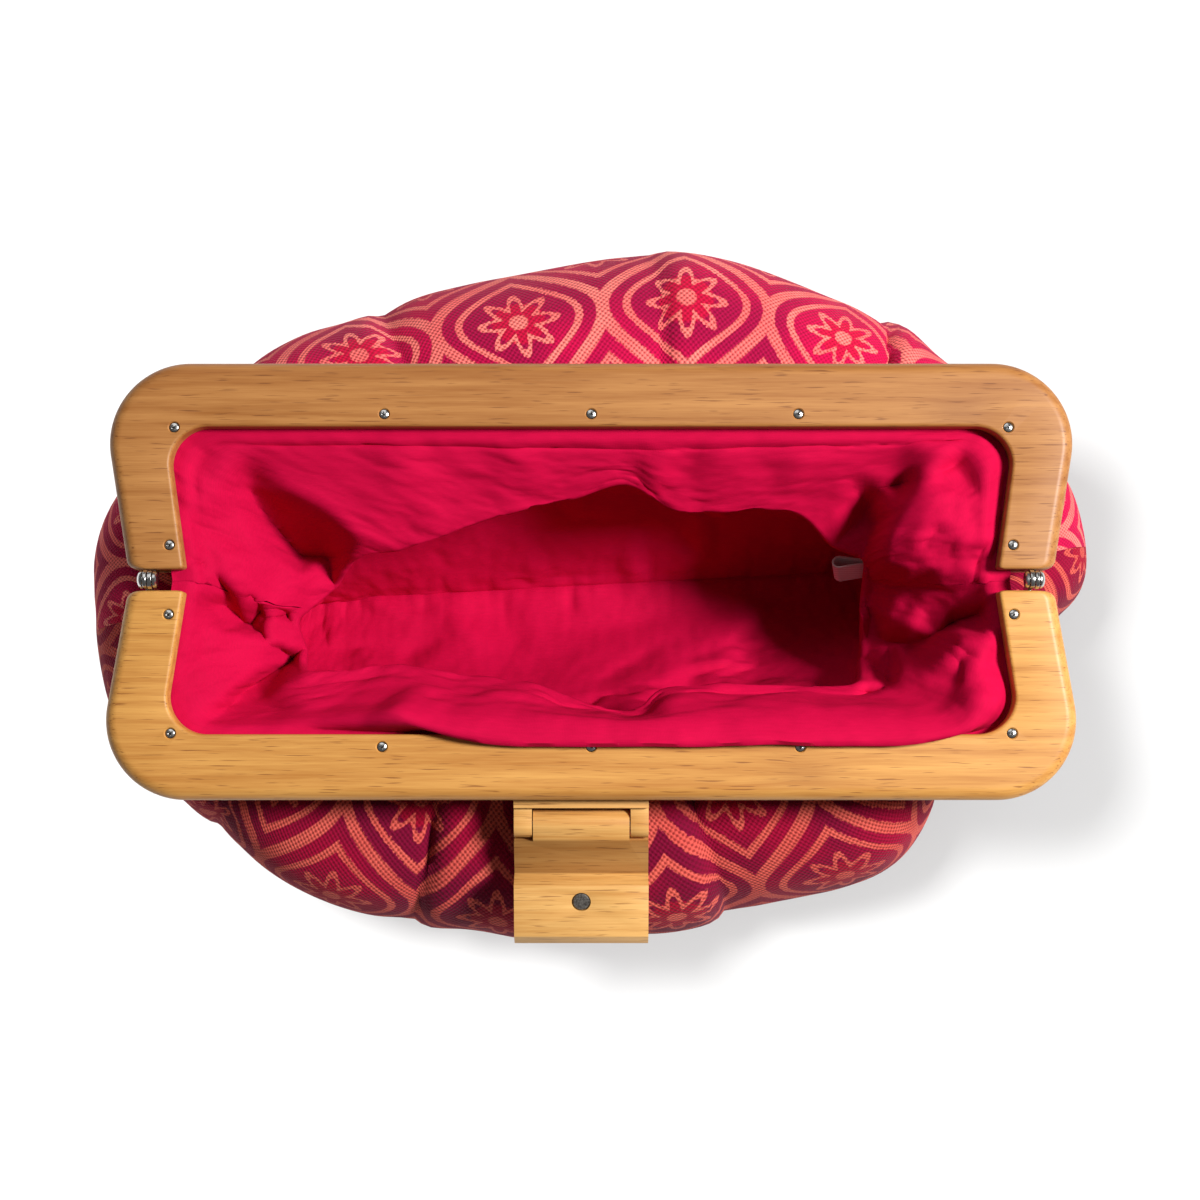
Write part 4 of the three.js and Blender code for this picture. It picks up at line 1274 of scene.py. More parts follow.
# %% Fold points of the mouth
# Ridges, valleys and edges of each part of the mouth: x, y, z
MOUTH_FOLDS = {
    "left_back": [
        (-111.3, 38.4, 92), (-107.7, 25.8, 90.5), (-102.5, 32.5, 91.5), (-96.1, 36.8, 91.5),
        (-112.1, 14.8, 89), (-113.0, 6.2, 90), (-103.0, 21.1, 83), (-98.9, 27.3, 81), (-94.4, 21.0, 68),
        (-89.2, 13.4, 60), (-97.8, 11.3, 79), (-82.7, 31.9, 89.5), (-85.6, 26.1, 88),
        (-76.9, 21.9, 87), (-68.6, 27.7, 88.5), (-66.6, 13.0, 82), (-88.3, 11.1, 58),
        (-78.2, 10.5, 62), (-107.3, 3.7, 88.5), (-91.5, 7.3, 74.5),
    ],
    "left_end": [
        (-103.6, 0.9, 88), (-102.0, 4.4, 87.5), (-85.8, 4.0, 71), (-94.6, -3.5, 80),
        (-88.1, -5.4, 72.5), (-84.6, -5.6, 66), (-104.6, -0.7, 82), (-96.9, -5.6, 73),
        (-90.1, -7.8, 67), (-77.3, 1.7, 62), (-108.7, -2.2, 88), (-100.9, -5.5, 80),
        (-93.3, -9.1, 77), (-87.4, -11.7, 71.5), (-107.5, -4.7, 79), (-101.2, -9.8, 70),
    ],
    "left_front": [
        (-113.1, -8.5, 90), (-111.7, -22.1, 89), (-103.2, -16.2, 83), (-94.9, -16.0, 77),
        (-88.8, -17.3, 73), (-85.3, -18.1, 69), (-98.0, -23.8, 79), (-105.8, -32.5, 88),
        (-88.6, -20.8, 64), (-97.4, -28.0, 70), (-103.8, -35.0, 82), (-93.7, -33.9, 82),
        (-82.5, -26.4, 83), (-82.2, -36.8, 88.5), (-111.1, -33.4, 91.5), (-108.3, -40.1, 91),
    ],
    "front": [
        (-70.6, -25.3, 81), (-54.8, -23.9, 80), (-69.5, -34.8, 88.5), (-54.0, -34.8, 88),
        (-34.6, -27.0, 81), (-42.6, -36.2, 89.5), (-26.9, -28.2, 82), (-28.5, -36.8, 90),
        (-15.7, -29.6, 83.5), (-15.8, -37.6, 90.5), (-6.0, -33.9, 86), (-5.9, -39.6, 91),
        (5.6, -40.7, 90), (9.8, -42.7, 91), (16.1, -36.8, 87.5), (19.4, -40.4, 91), (18.3, -31.6, 82),
        (35.5, -29.6, 81.5), (33.5, -37.6, 90.5), (54.1, -29.6, 81), (53.3, -37.3, 90),
        (77.5, -28.8, 82), (73.0, -36.8, 90.5), (80.2, -33.3, 79), (83.4, -39.6, 88),
        (89.0, -34.8, 86.5),
    ],
    "right_front": [
        (85.5, -30.2, 84), (92.8, -31.2, 87), (87.0, -26.5, 70), (81.0, -21.5, 62), (91.8, -23.0, 72),
        (95.8, -19.4, 75), (96.8, -27.0, 91.5), (99.5, -24.0, 93), (104.0, -18.0, 94), (101.2, -33.6, 95),
        (108.2, -23.5, 98), (111.1, -33.4, 97), (111.1, -16.5, 97), (100.9, -14.1, 77), (94.4, -15.5, 70),
        (86.5, -14.0, 63), (105.1, -10.2, 76), (112.9, -7.9, 84),
    ],
    "right_end": [
        (114.6, -2.3, 90), (107.1, -6.0, 86), (96.0, -5.7, 80), (83.0, -3.8, 62), (93.1, -10.9, 79),
        (87.8, -8.8, 73), (102.9, -7.0, 83.5), (85.5, 2.6, 66), (92.0, 0.8, 75), (102.5, -0.8, 86),
        (84.4, 7.0, 86), (90.5, 5.2, 88), (98.0, 5.4, 90), (106.5, 3.6, 92), (113.3, 1.2, 89),
    ],
    "right_back": [
        (84.6, 11.4, 89), (81.4, 9.0, 70), (92.7, 12.4, 95), (103.3, 12.0, 97), (111.0, 11.8, 97),
        (83.6, 19.6, 72), (88.2, 19.2, 92), (71.3, 13.4, 71), (81.2, 23.4, 70), (90.2, 29.6, 80),
        (93.8, 27.4, 94), (95.2, 23.6, 97), (98.9, 34.5, 96), (103.0, 33.0, 90), (105.4, 38.9, 95),
        (111.0, 31.6, 98), (111.0, 21.7, 98), (82.8, 27.9, 84), (89.5, 31.8, 87.5), (73.6, 34.7, 90),
    ],
    "back": [
        (-55.2, 11.4, 78), (-41.2, 15.9, 80), (-54.2, 29.0, 90), (-40.7, 31.9, 89), (-25.0, 21.2, 81.5),
        (-24.7, 33.2, 90.5), (-6.0, 25.4, 83), (-8.8, 35.2, 90.5), (11.2, 28.6, 85), (9.6, 36.0, 90.5),
        (14.9, 27.8, 84.5), (19.3, 24.7, 81.5), (19.6, 34.5, 91), (25.3, 22.5, 80.5), (28.2, 33.4, 87.5),
        (32.9, 22.2, 80), (36.6, 34.5, 91), (54.5, 22.8, 80), (50.8, 34.7, 90), (58.9, 23.1, 79.5),
        (59.2, 33.1, 91),
    ],
    "inside": [
        (-70.0, -20.0, 72), (-54.0, -18.5, 71), (-34.6, -21.5, 72), (-26.0, -23.0, 72), (-14.5, -24.0, 73),
        (-3.0, -28.0, 75), (6.5, -33.0, 78), (14.0, -30.5, 76), (20.0, -26.0, 72), (35.5, -24.0, 72),
        (54.0, -24.0, 72), (75.0, -23.0, 73), (-55.0, 6.0, 69), (-41.0, 10.5, 70), (-25.0, 16.0, 71),
        (-6.0, 20.0, 72), (11.0, 23.0, 74), (17.0, 20.0, 72), (25.3, 17.0, 71), (33.0, 16.7, 71),
        (54.5, 17.3, 71),
    ],
}
print("fold points:", sum(len(points) for points in MOUTH_FOLDS.values()))

# %% Heights of the mouth
LIP_HEIGHT = 93.0
# Depths below the lip are stretched by this
FOLD_SCALE = 1.25
RIM_POINTS = 40
MERGE = 0.05
SLIVER = 1e-6


def mouth_triangles():
    """The fold points and the frame's edge, joined into triangles."""
    shares = np.linspace(0, 1, RIM_POINTS)
    rim = mouth_outline(shares) * (MOUTH_X - LIP_INSET, MOUTH_Y - LIP_INSET)
    level = np.full(len(rim), LIP_HEIGHT)
    edges = [np.column_stack([rim * (1, side), level]) for side in (1, -1)]
    marks = [np.array(points, float) for points in MOUTH_FOLDS.values()]
    points = np.concatenate(edges + marks)
    plan = [Vector(point[:2]) for point in points]
    spots, _, faces, origins, _, _ = delaunay_2d_cdt(plan, [], [], 0, MERGE)
    heights = np.array([points[source[0]][2] for source in origins])
    sunk = heights < LIP_HEIGHT
    heights[sunk] = LIP_HEIGHT - FOLD_SCALE * (LIP_HEIGHT - heights[sunk])
    corners = np.array([[*spot] for spot in spots])
    return corners[np.array(faces)], heights[np.array(faces)]


def mouth_height(points):
    """Height of the folded mouth over each point of a grid, read off the triangles."""
    corners, heights = mouth_triangles()
    plan = points[..., :2].reshape(-1, 2)
    found = np.full(len(plan), LIP_HEIGHT)
    for (a, b, c), tops in zip(corners, heights):
        sides = np.stack([b - a, c - a], axis=1)
        if abs(np.linalg.det(sides)) < SLIVER:
            continue
        share = (plan - a) @ np.linalg.inv(sides).T
        inside = (share >= -SLIVER).all(axis=1) & (share.sum(axis=1) <= 1 + SLIVER)
        found[inside] = tops[0] + share[inside] @ (tops[1:] - tops[0])
    return found.reshape(points.shape[:-1])


# %% Fold the mouth
FOLD_ROOM = 6.0
FOLD_FADE = 0.6
FOLD_PASSES = 2


def eased(values, passes, fixed):
    """Heights with their creases rounded, on all rows but the fixed ones."""
    for _ in range(passes):
        around = (np.roll(values, 1, axis=1) + np.roll(values, -1, axis=1)) / 2
        along = values.copy()
        along[1:-1] = (values[:-2] + values[2:]) / 2
        values = np.where(fixed[:, None], values, 0.5 * values + 0.25 * (around + along))
    return values


def fold_mouth(points, at):
    """The pouch with its mouth folded, and the cloth below kept clear of the folds."""
    throat = SECTION_AT["throat"]
    top = (at > SECTION_AT["lip"]) & (at <= throat)
    below = (at > throat) & (at < SECTION_AT["shoulder"])
    heights = points[..., 2].copy()
    heights[top] = mouth_height(points[top])
    drop = FOLD_ROOM * soft_step(at[below], throat, throat + FOLD_FADE)
    heights[below] = np.minimum(heights[below], mouth_height(points[below]) - drop[:, None])
    heights = eased(heights, FOLD_PASSES, ~(top | below))
    for one, other in ((0, -1), (COLUMNS, COLUMNS + 1)):
        heights[:, [one, other]] = heights[:, [one, other]].mean(axis=1, keepdims=True)
    return np.concatenate([points[..., :2], heights[..., None]], axis=2)


# %% [markdown]
# ## Canvas pleats
# The canvas lies under the lining at the mouth. Its fold there is drawn back and lowered, so it can't
# come through. From the frame down to the belly it has sharp one-sided pleats, which a wave can't
# give: the depth falls away quickly on one side of the pleat's line and slowly on the other.

# %% Canvas surface
FLAT_WIDTH = 400.0
# Pleats of the canvas: panel, share of the way at the hollow and the belly, depth, and width of the
# soft side, which lies to the left where it is negative
PLEATS = [
    ("front", 0.386, 0.366, 6.0, -20.0),
    ("front", 0.56, 0.567, 7.0, 24.0),
    ("front", 0.2, 0.2, 4.0, 18.0),
    ("front", 0.735, 0.74, 5.0, -16.0),
    ("back", 0.373, 0.371, 6.0, 18.0),
    ("back", 0.755, 0.728, 6.0, -18.0),
    ("back", 0.2, 0.2, 4.0, 16.0),
    ("back", 0.565, 0.56, 3.0, -18.0),
]
PLEAT_EDGE = 1.6
# Share of a pleat's depth at each section
PLEAT_RUN = {"under": 0, "hollow": 0.6, "shoulder": 1, "upper": 0.9, "belly": 0.4, "lower": 0.25, "heel": 0}
# How far the canvas is drawn back and down at each section around the throat
SET_BACK = {"lip": 0, "brow": 0.5, "turn": 2.5, "throat": 4.5, "under": 3.0, "hollow": 0}
SINK = {"lip": 0, "brow": 1.0, "turn": 2.0, "throat": 2.6, "under": 2.0, "hollow": 0}


def around_ring(points):
    """The way round the pouch at each point, from its neighbours on the closed ring."""
    return np.roll(points, -1, axis=1) - np.roll(points, 1, axis=1)


def grid_normals(points):
    return unit(np.cross(around_ring(points), np.gradient(points, axis=0)))


def column_shares():
    """Share of each ring column along its own panel, and whether it is on the front."""
    shares = np.linspace(0, 1, COLUMNS + 1)
    return np.concatenate([shares, shares[::-1]]), np.arange(2 * COLUMNS + 2) > COLUMNS


def pleat(points, at):
    """The pouch with one-sided pleats pressed into the canvas."""
    shares, is_front = column_shares()
    down = along_sections({"hollow": 0, "belly": 1}, at)
    depth = np.zeros(points.shape[:2])
    for panel, high, low, deep, soft in PLEATS:
        middle = (high + (low - high) * down)[:, None]
        away = (shares[None, :] - middle) * FLAT_WIDTH * np.sign(soft)
        shape = np.exp(-np.abs(away) / np.where(away > 0, abs(soft), PLEAT_EDGE))
        depth += deep * shape * (is_front == (panel == "front"))
    run = along_sections(PLEAT_RUN, at)
    return points - grid_normals(points) * (depth * run[:, None])[..., None]


def set_back(points, at):
    """The pouch with its canvas drawn back from the throat, so that its fold lies inside the lining's."""
    around = around_ring(points)
    outward = np.stack([around[..., 1], -around[..., 0], np.zeros(around.shape[:2])], axis=2)
    outward = unit(outward)
    outward *= np.sign((outward * points).sum(axis=2, keepdims=True))
    return points + outward * along_sections(SET_BACK, at)[:, None, None]


def sink(points, at):
    """The pouch with its canvas lowered a little under the lining's folds."""
    return points - along_sections(SINK, at)[:, None, None] * (0, 0, 1)


grid = pleat(sink(fold_mouth(set_back(smooth_grid, row_at), row_at), row_at), row_at)
print("pouch box:", grid.min((0, 1)).round(1), grid.max((0, 1)).round(1))

# %% [markdown]
# ## The hanging lining
# Below the throat the lining doesn't follow the canvas. It hangs in the pouch like a hammock, down to
# the seam along its bottom, so it has sections of its own there. Its hem makes a small roll along the
# back bar, and it puffs up over the edge of the front bar. The seam pulls a narrow groove with
# puckers beside it, and soft creases cross the walls. Each of these is a small bump added to the grid.

# %% Lining sections
LINING_SECTIONS = {
    "hollow": (95, 34, 40, 56, 64, 64),
    "shoulder": (102, 33, 40, 47, 54, 54),
    "upper": (105, 29, 37, 38, 43, 44),
    "belly": (105, 24, 33, 29, 33, 35),
    "lower": (103, 19, 28, 21, 24, 27),
    "heel": (101, 14, 22, 14, 16, 19),
    "base_edge": (98, 9, 15, 8, 9.5, 12),
    "base_middle": (96, 4.5, 7, 4.5, 5.2, 6),
    "base_seam": (95, 0, 0, 3, 3, 3),
}


def lining_row(name, row):
    """A section of the lining, which has its own sizes below the throat and no folds there."""
    if name not in LINING_SECTIONS:
        return row
    return {**row, **dict(zip(SIZE_NAMES, LINING_SECTIONS[name])), "belly": 0}


lining_rows = [lining_row(name, row) for name, row in zip(SECTIONS, SECTION_ROWS)]
lining_grid = fold_mouth(pouch_grid(lining_rows), row_at)
lining_heights = lining_grid[..., 2]
print("lining hangs from", lining_heights.max().round(1), "down to", lining_heights.min().round(1))

# %% Roll over the front bar and hem along the back bar
# The roll: share of the way from the lip to the brow and on to the turn, outward and upward travel
PUFF = [
    (0.0, 0.0, 0.0),
    (0.12, 0.2, 4.5),
    (0.25, 0.6, 9.8),
    (0.38, 3.8, 10.6),
    (0.5, 3.6, 11.2),
    (0.65, 0.8, 10.4),
    (0.8, -2.4, 8.4),
    (1.0, -5.4, 4.6),
    (1.4, -8.0, -1.0),
    (2.0, -10.0, -10.0),
]
# Shares of the front panel where the roll starts, is full, fades and ends
PUFF_SPAN = (0.29, 0.46, 0.68, 0.86)
HEM = {"at": 1.6, "width": 1.3, "rise": 0.9, "groove_at": 3.9, "groove_width": 0.7, "groove": 0.7}


def puff_lining(points, at):
    """The lining rolled up over the edge of the front bar."""
    lip = SECTION_AT["lip"]
    shares, is_front = column_shares()
    low, full, fade, high = PUFF_SPAN
    weight = soft_step(shares, low, full) * (1 - soft_step(shares, fade, high)) * is_front
    lift = np.minimum(1, 2 * weight)
    reach = np.maximum(0, 2 * weight - 1)
    puffed = points.copy()
    travel = np.array(PUFF)
    edge = points[at == lip][0]
    for row in np.flatnonzero((at > lip) & (at < SECTION_AT["turn"])):
        out, up = (np.interp(at[row] - lip, travel[:, 0], travel[:, column]) for column in (1, 2))
        puffed[row, :, 1] += reach * np.minimum(0, edge[:, 1] - out - points[row, :, 1])
        puffed[row, :, 2] += lift * np.maximum(0, edge[:, 2] + up - points[row, :, 2])
    return puffed


def bell(away, width):
    """1 at no distance, falling smoothly to 0."""
    return np.exp(-((away / width) ** 2))


def hem_lining(points, at):
    """A narrow roll and a groove where the lining's hem lies along the back bar."""
    _, is_front = column_shares()
    away = np.linalg.norm(points - points[at == SECTION_AT["lip"]][0], axis=2)
    roll = HEM["rise"] * bell(away - HEM["at"], HEM["width"])
    roll -= HEM["groove"] * bell(away - HEM["groove_at"], HEM["groove_width"])
    rows = (at > SECTION_AT["lip"]) & (at < SECTION_AT["throat"])
    hemmed = points.copy()
    hemmed[..., 2] += np.where(rows[:, None] & ~is_front[None, :], roll, 0)
    return hemmed


lining_grid = hem_lining(puff_lining(lining_grid, row_at), row_at)
print("lining rises to", lining_grid[..., 2].max().round(1))

# %% Creases and bottom seam
# Soft creases of the lining seen from above: start x, y, end x, y, rise and width
CREASES = [
    (1.2, -30.0, 20.0, -18.0, -1.6, 2.6),
    (22.0, -20.0, 47.0, -13.0, 1.4, 4.0),
    (-62.0, -22.0, -48.0, -12.0, -2.0, 4.0),
    (-84.0, -16.0, -58.0, -20.0, -2.0, 3.5),
    (-33.5, 4.0, -21.0, -20.0, -2.2, 6.0),
    (-74.0, 2.0, -57.0, -8.0, 1.8, 3.0),
    (-11.0, -12.0, 34.0, -6.0, -1.6, 4.5),
    (-7.3, 3.0, -6.0, -5.0, -1.4, 2.0),
    (11.3, 20.0, 12.6, 5.0, 1.8, 3.5),
    (33.7, -13.0, 57.0, -3.0, 1.6, 4.5),
    (-46.0, -6.0, -36.0, -16.0, 1.4, 3.0),
]
PUCKER = {"reach": 5.0, "rise": 0.55, "period": 9.0, "clear": 1.5}
SEAM = {"depth": 1.0, "width": 1.0}


def crease_rise(plan):
    """How far the creases lift each place. A crease is strongest halfway along."""
    rise = np.zeros(plan.shape[:2])
    for x0, y0, x1, y1, height, width in CREASES:
        start, along = np.array((x0, y0)), np.array((x1 - x0, y1 - y0))
        share = np.clip(((plan - start) @ along) / (along @ along), 0, 1)
        away = np.linalg.norm(plan - start - share[..., None] * along, axis=2)
        rise += height * bell(away, width) * np.sin(np.pi * (0.1 + 0.8 * share))
    return rise


def seam_rise(points):
    """The bottom seam's groove, and the puckers beside it, which waves of unlike lengths make uneven."""
    away = np.abs(points[..., 1] - points[-1, :, 1][None, :])
    phase = points[..., 0] * 2 * math.pi / PUCKER["period"]
    ripple = np.sin(phase) * np.sin(0.37 * phase + 1.0) + 0.7 * np.sin(1.71 * phase + np.sin(0.6 * phase))
    near = np.exp(-away / PUCKER["reach"]) * np.minimum(1, away / PUCKER["clear"])
    return PUCKER["rise"] * ripple * near - SEAM["depth"] * bell(away, SEAM["width"])


def crease_lining(points, at):
    """The lining with creases on its hanging walls and a sewn bottom."""
    creased = points.copy()
    rise = crease_rise(points[..., :2]) + seam_rise(points)
    creased[..., 2] += (at > SECTION_AT["hollow"])[:, None] * rise
    return creased


lining_grid = crease_lining(lining_grid, row_at)
print("lining box:", lining_grid.min((0, 1)).round(1), lining_grid.max((0, 1)).round(1))

# %% [markdown]
# ## Letting the cloth settle
# A surface drawn through sections is too even for cloth, so Blender's Cloth drapes it. A coarse copy is
# pinned where the cloth is clamped or sewn. It grows by a few hundredths, so it has to buckle, and it
# settles for a few frames. Only the way that each point has moved is kept. It is capped, so the bag
# keeps its outline, and then spread over the fine surface.

# %% Drape a coarse copy
SETTLE_FRAMES = 14
PIN_ROOM = 0.05
# A shrink below zero makes the cloth grow
CLOTH = {
    "vertex_group_mass": "pins",
    "quality": 5,
    "mass": 0.2,
    "tension_stiffness": 20,
    "compression_stiffness": 20,
    "shear_stiffness": 8,
    "bending_stiffness": 0.4,
    "shrink_min": -0.05,
}
CLOTH_GRAVITY = 0.05


def drape_piece(name, points, room):
    """A coarse copy of a surface, closed round its columns and pinned where it has no room."""
    rows, columns = points.shape[:2]
    first = np.arange(rows - 1)[:, None] * columns
    here = first + np.arange(columns)
    after = first + (np.arange(columns) + 1) % columns
    faces = np.stack([here, after, after + columns, here + columns], axis=2).reshape(-1, 4)
    mesh = bpy.data.meshes.new(name)
    mesh.from_pydata((points.reshape(-1, 3) * MM).tolist(), [], faces.tolist())
    piece = bpy.data.objects.new(name, mesh)
    scene.collection.objects.link(piece)
    pins = piece.vertex_groups.new(name=CLOTH["vertex_group_mass"])
    pins.add(np.flatnonzero(np.repeat(room < PIN_ROOM, columns)).tolist(), 1.0, "REPLACE")
    return piece


def run_cloth(piece):
    """Points of the piece after a few frames of Cloth, in millimetres."""
    cloth = piece.modifiers.new("cloth", "CLOTH").settings
    for name, value in CLOTH.items():
        setattr(cloth, name, value)
    cloth.effector_weights.gravity = CLOTH_GRAVITY
    for step in range(1, SETTLE_FRAMES + 1):
        scene.frame_set(step)
    settled = piece.evaluated_get(bpy.context.evaluated_depsgraph_get()).data
    points = np.array([vertex.co[:] for vertex in settled.vertices]) / MM
    scene.frame_set(1)
    return points


# %% Settle both cloths
ROW_STEP, COLUMN_STEP = 2, 3
# How far a point may move at each section
CANVAS_ROOM = {
    "hollow": 0,
    "shoulder": 1.2,
    "upper": 2.6,
    "belly": 1.6,
    "lower": 2.6,
    "heel": 1,
    "base_edge": 0,
}
LINING_ROOM = {
    "lip": 0,
    "brow": 1.1,
    "turn": 0.8,
    "throat": 0,
    "under": 0,
    "hollow": 2,
    "upper": 3,
    "base_seam": 0,
}


def spread_rows(values, rows, count):
    """Values on some rows, spread smoothly over all the rows."""
    fine = curve_through(rows.astype(float), values.reshape(len(rows), -1), np.arange(count))
    return fine.reshape(count, *values.shape[1:])


def settle_cloth(name, points, rooms):
    """The surface with the small sags and buckles of cloth."""
    row_count, column_count = points.shape[:2]
    room = along_sections(rooms, row_at)
    rows = np.append(np.arange(0, row_count - 1, ROW_STEP), row_count - 1)
    columns = np.arange(0, column_count, COLUMN_STEP)
    coarse = points[rows][:, columns]
    piece = drape_piece(name, coarse, room[rows])
    moved_by = run_cloth(piece).reshape(coarse.shape) - coarse
    bpy.data.objects.remove(piece)
    far = np.linalg.norm(moved_by, axis=2, keepdims=True)
    moved_by *= np.minimum(1, room[rows][:, None, None] / np.maximum(far, TINY))
    print(name, "moved by", far.mean().round(2), "mm, at most", far.max().round(2))
    tall = spread_rows(moved_by, rows, row_count).swapaxes(0, 1)
    ring = np.concatenate([tall, tall[:1]])
    return points + spread_rows(ring, np.append(columns, column_count), column_count).swapaxes(0, 1)


grid = settle_cloth("canvas_drape", grid, CANVAS_ROOM)
lining_grid = settle_cloth("lining_drape", lining_grid, LINING_ROOM)

# %% [markdown]
# ## Cloth walls
# A wall of cloth lies between two distances from the middle surface, measured along its normals. A
# Solidify modifier would do it too, but its two panels wouldn't agree at their seams. Here the normals
# come from the neighbours of each grid point, round the closed ring of columns. The UV map holds the
# flat cut in metres, for the print and the weave.

# %% Panels from the grid
CLOTH_SMOOTH_DEG = 80


def wall_faces(rows, width):
    """Faces of two layers of a grid, one over the other, and of the rim that joins them."""
    count = rows * width
    here = (np.arange(rows - 1)[:, None] * width + np.arange(width - 1)[None, :]).ravel()
    outside = np.stack([here, here + 1, here + width + 1, here + width], axis=1) + count
    inside = np.stack([here, here + width, here + width + 1, here + 1], axis=1)
    sides = [
        np.arange(width - 1),
        np.arange(rows - 1) * width + width - 1,
        (rows - 1) * width + np.arange(width - 1, 0, -1),
        np.arange(rows - 1, 0, -1) * width,
    ]
    rim = np.concatenate(sides)
    after = np.roll(rim, -1)
    edge = np.stack([rim, after, after + count, rim + count], axis=1)
    return np.concatenate([outside, inside, edge])


def lay_flat(mesh, layer):
    """Writes the flat cut's measures to the UV map, in metres."""
    rows, width = layer.shape[:2]
    u, v = np.meshgrid(np.linspace(0, FLAT_WIDTH, width), running_length(layer))
    flat = np.stack([u.ravel(), v.ravel()], axis=1) * MM
    corners = np.zeros(len(mesh.loops), np.int32)
    mesh.loops.foreach_get("vertex_index", corners)
    uv = mesh.uv_layers.new(name="flat_cut")
    uv.data.foreach_set("uv", flat[corners % (rows * width)].astype(np.float32).ravel())


def cloth_wall(name, panel, points, inner, outer):
    """One panel's wall, as a closed mesh, between two distances from the middle surface."""
    normals = grid_normals(points)
    width = COLUMNS + 1
    columns = slice(0, width) if panel == "back" else slice(width, 2 * width)
    layers = [(points + normals * offset)[:, columns] for offset in (inner, outer)]
    flat_points = np.concatenate([layer.reshape(-1, 3) for layer in layers])
    mesh = bpy.data.meshes.new(name)
    mesh.from_pydata((flat_points * MM).tolist(), [], wall_faces(len(points), width).tolist())
    lay_flat(mesh, layers[1])
    return link_smooth(name, mesh, CLOTH_SMOOTH_DEG)


# %% [markdown]
# ## Printed canvas
# The canvas is a coarse plain weave with a salmon line print on crimson. The print here is a plain ogee
# lattice with an echo line and a small rosette in each cell. An image could hold it, but worked out
# from distances on the flat cut it stays sharp and follows the cloth. The weave under it is two
# crossed waves, whose threads show as staggered dots with darker gaps.

# %% Print of the canvas
OGEE = {"across": 46.0, "down": 66.0, "shift": 0.22, "swing": 0.25, "line": 1.7, "echo": 6.4}
ROSETTE = {"radius": 7.8, "petals": 8, "petal": 2.4, "line": 1.25, "heart": 2.6}
ECHO_LINE = 1.05
LINE_EDGE, ECHO_EDGE, DISC_EDGE = 0.25, 0.2, 0.5


def ogee_lattice(x, y):
    """Distance from the nearest line of the lattice, in millimetres."""
    phase = y * (2 * math.pi)
    wave = phase.sine() * OGEE["swing"]
    steep = phase.cosine() * (2 * math.pi * OGEE["swing"] * OGEE["across"] / OGEE["down"])
    slope = (steep * steep + 1).root()
    first = abs((x - wave).from_nearest()) * OGEE["across"] / slope
    second = abs((x + wave - 0.5).from_nearest()) * OGEE["across"] / slope
    return first.least(second)


def rosettes(x, y, centre_x, centre_y):
    """Lines of the rosettes that lie on a lattice, and the discs behind them."""
    across = (x - centre_x).from_nearest() * OGEE["across"]
    down = (y - centre_y).from_nearest() * OGEE["down"]
    radius = (across * across + down * down).root()
    petals = (down.angle(across) * ROSETTE["petals"]).cosine() * ROSETTE["petal"] + ROSETTE["radius"]
    outline = abs(radius - petals).within(ROSETTE["line"], LINE_EDGE)
    heart = radius.within(ROSETTE["heart"], LINE_EDGE)
    return outline.most(heart), radius.within(ROSETTE["radius"] - DISC_EDGE, DISC_EDGE)


def print_masks(x, y):
    """All lines of the print, and the discs behind its rosettes."""
    lattice = ogee_lattice(x, y)
    line = lattice.within(OGEE["line"], LINE_EDGE)
    echo = abs(lattice - OGEE["echo"]).within(ECHO_LINE, ECHO_EDGE)
    one, one_disc = rosettes(x, y, 0.25, -0.25)
    two, two_disc = rosettes(x, y, 0.75, 0.25)
    return line.most(echo).most(one).most(two), one_disc.most(two_disc)


# %% Canvas finish
CANVAS_THREAD = 0.75
# Two tones of the ground, the rosettes' discs, and two tones of the lines. The front panel's colours
# are darker, as painted shade, and the back panel's lighter, as painted light.
CANVAS_LIT_AND_SHADED_COLOURS = {
    "back": ("#a0063e", "#c80846", "#cc0e38", "#f46a68", "#fc847a"),
    "front": ("#74032c", "#980430", "#a40628", "#cc5048", "#d65e52"),
}


def weave(u, v, thread):
    """Two crossed waves, one thread each way."""
    return (u * (math.pi / thread)).sine() * (v * (math.pi / thread)).sine()


def canvas_finish(name, colours):
    deep, warm, disc, dull, bright = (linear(code) for code in colours)
    finish = Finish(name, Sheen_Weight=0.04, Sheen_Roughness=0.5, Specular_IOR_Level=0.1)
    cut = finish.place("UV")
    u, v, _ = finish.parts(cut)
    ragged = (finish.noise(cut, 1.1, 1.0) - 0.5) * 0.02
    printed, discs = print_masks(u / OGEE["across"] + ragged + OGEE["shift"], v / OGEE["down"] + ragged)
    ground = finish.mix(finish.noise(cut, 0.03, 2.0).rise(0.35, 0.65), deep, warm)
    ground = finish.mix(discs * 0.75, ground, disc)
    lines = finish.mix(finish.noise(cut, 0.05, 2.0).rise(0.3, 0.7), dull, bright)
    thread = weave(u, v, CANVAS_THREAD) * 0.4 + finish.noise(cut, 2.0, 2.0) * 0.5 + 0.25
    gaps = (1 - thread.rise(0.15, 0.7)) * (printed * 0.3 + 0.4)
    colour = finish.shade(finish.mix(printed, ground, lines), gaps, linear("#7d2038"))
    finish.set("Base Color", colour)
    finish.set("Roughness", thread * 0.1 + 0.78)
    finish.bump(thread, 0.32, 0.9)
    print(f"{name}: {len(finish.group.nodes)} nodes")
    return finish.material


canvas = {panel: canvas_finish(f"{panel}_canvas", codes) for panel, codes in CANVAS_LIT_AND_SHADED_COLOURS.items()}

# %% [markdown]
# ## Crimson lining
# The lining is a fine cotton, dyed through. Its threads are too fine to see one by one, so a close
# weave and a little noise break up the colour. The larger creases are in the mesh already, and the
# shallow crumples between them are a bump.

# %% Lining finish
LINING_THREAD = 0.42


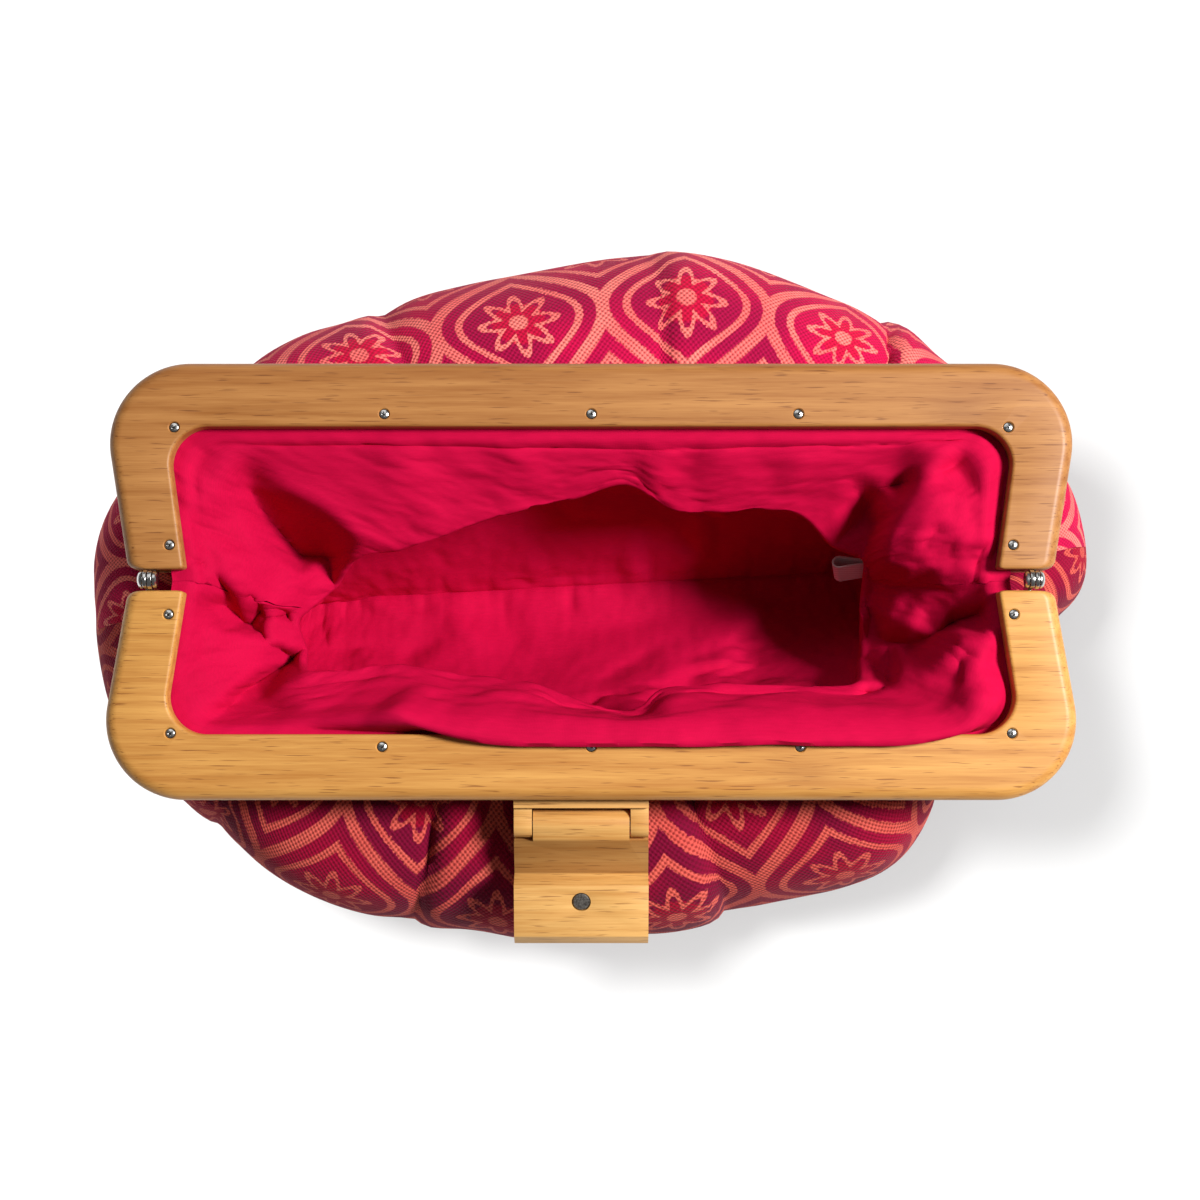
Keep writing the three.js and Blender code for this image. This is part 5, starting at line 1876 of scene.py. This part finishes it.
def lining_finish():
    finish = Finish("crimson_cotton", Specular_IOR_Level=0.06)
    cut = finish.place("UV")
    u, v, _ = finish.parts(cut)
    threads = abs(weave(u, v, LINING_THREAD))
    slub = finish.noise(finish.scaled(cut, (0.15, 1, 1)), 1.6, 2.0)
    crumple = finish.noise(cut, 0.045, 2.0, 0.4) + finish.noise(cut, 0.11, 1.0, 0.4) * 0.4
    share = finish.noise(cut, 0.02, 2.0) * 0.6 + slub * 0.4
    colour = finish.mix(share.rise(0.25, 0.75), linear("#b40537"), linear("#c5083f"))
    finish.set("Base Color", finish.shade(colour, threads * 0.12, linear("#a00030")))
    finish.set("Roughness", slub * 0.15 + 0.72)
    finish.bump(crumple * 3.4 + slub * 0.05 + threads * 0.04, 1.0, 0.6)
    print(f"{finish.material.name}: {len(finish.group.nodes)} nodes")
    return finish.material


lining = lining_finish()

# %% [markdown]
# ## Sewing the pouch
# The pouch is gathered in the frame's groove.

# %% Panels
for panel in PANELS:
    outside = cloth_wall(f"canvas_{panel}", panel, grid, CLOTH_GAP, CLOTH_GAP + CANVAS_WALL)
    dress(outside, canvas[panel], "bag", "canvas", f"outer_{panel}")
    inside = cloth_wall(f"cotton_{panel}", panel, lining_grid, -CLOTH_GAP - LINING_WALL, -CLOTH_GAP)
    dress(inside, lining, "bag", "lining", f"lining_{panel}")


# %% [markdown]
# ## Label loop
# A short white tape is folded into a loop and sewn into the right side seam. It is blank. A tape is
# the same all across, so its side outline, two lines and an arc with a wall, is swept across its width.

# %% Tape loop
LABEL = {"place": (83.0, 6.5, 57.5), "droop_deg": 12.0, "roll_deg": 58.0}
TAPE = {"length": 11.0, "width": 7.0, "thick": 0.5, "radius": 2.2, "slit": 0.1, "rib": 0.5}
LOOP_STEPS = 20


def tape_finish_painted_shade():
    finish = Finish("white_tape", Sheen_Weight=0.2, Roughness=0.6)
    _, y, _ = finish.parts(finish.place())
    ribs = abs((y * (math.pi / TAPE["rib"])).sine())
    # Painted shade and painted red bounce light: the white tape's colours are a dim pinkish grey
    finish.set("Base Color", finish.mix(ribs, linear("#c9a8ac"), linear("#e0c8ca")))
    finish.bump(ribs, 0.06, 0.6)
    return finish.material


def tape_outline(half_gap, radius):
    """One face of the folded tape: out along the top, round the fold and back."""
    middle = (-TAPE["length"] + TAPE["radius"], 0)
    return [(0, half_gap), *arc_points(middle, radius, 90, 270, LOOP_STEPS), (0, -half_gap)]


def tape_loop():
    outside = tape_outline(TAPE["thick"], TAPE["radius"])
    inside = tape_outline(TAPE["slit"], TAPE["radius"] - TAPE["thick"])
    points = [(x, y, z) for y in (-TAPE["width"] / 2, TAPE["width"] / 2) for x, z in outside + inside]
    count, ring = len(outside), 2 * len(outside)
    faces = []
    for i in range(count - 1):
        faces.append((i, i + 1, ring + i + 1, ring + i))
        faces.append((count + i + 1, count + i, ring + count + i, ring + count + i + 1))
        faces.append((i + 1, i, count + i, count + i + 1))
        faces.append((ring + i, ring + i + 1, ring + count + i + 1, ring + count + i))
    for i in (0, count - 1):
        faces.append((i, ring + i, ring + count + i, count + i))
    droop = Matrix.Rotation(math.radians(-LABEL["droop_deg"]), 4, "Y")
    roll = Matrix.Rotation(math.radians(LABEL["roll_deg"]), 4, "X")
    return moved((np.array(points), faces), Matrix.Translation(LABEL["place"]) @ droop @ roll)


label = add_piece("blank_label", tape_loop())
dress(label, tape_finish_painted_shade(), "bag", "tape", "label_loop")
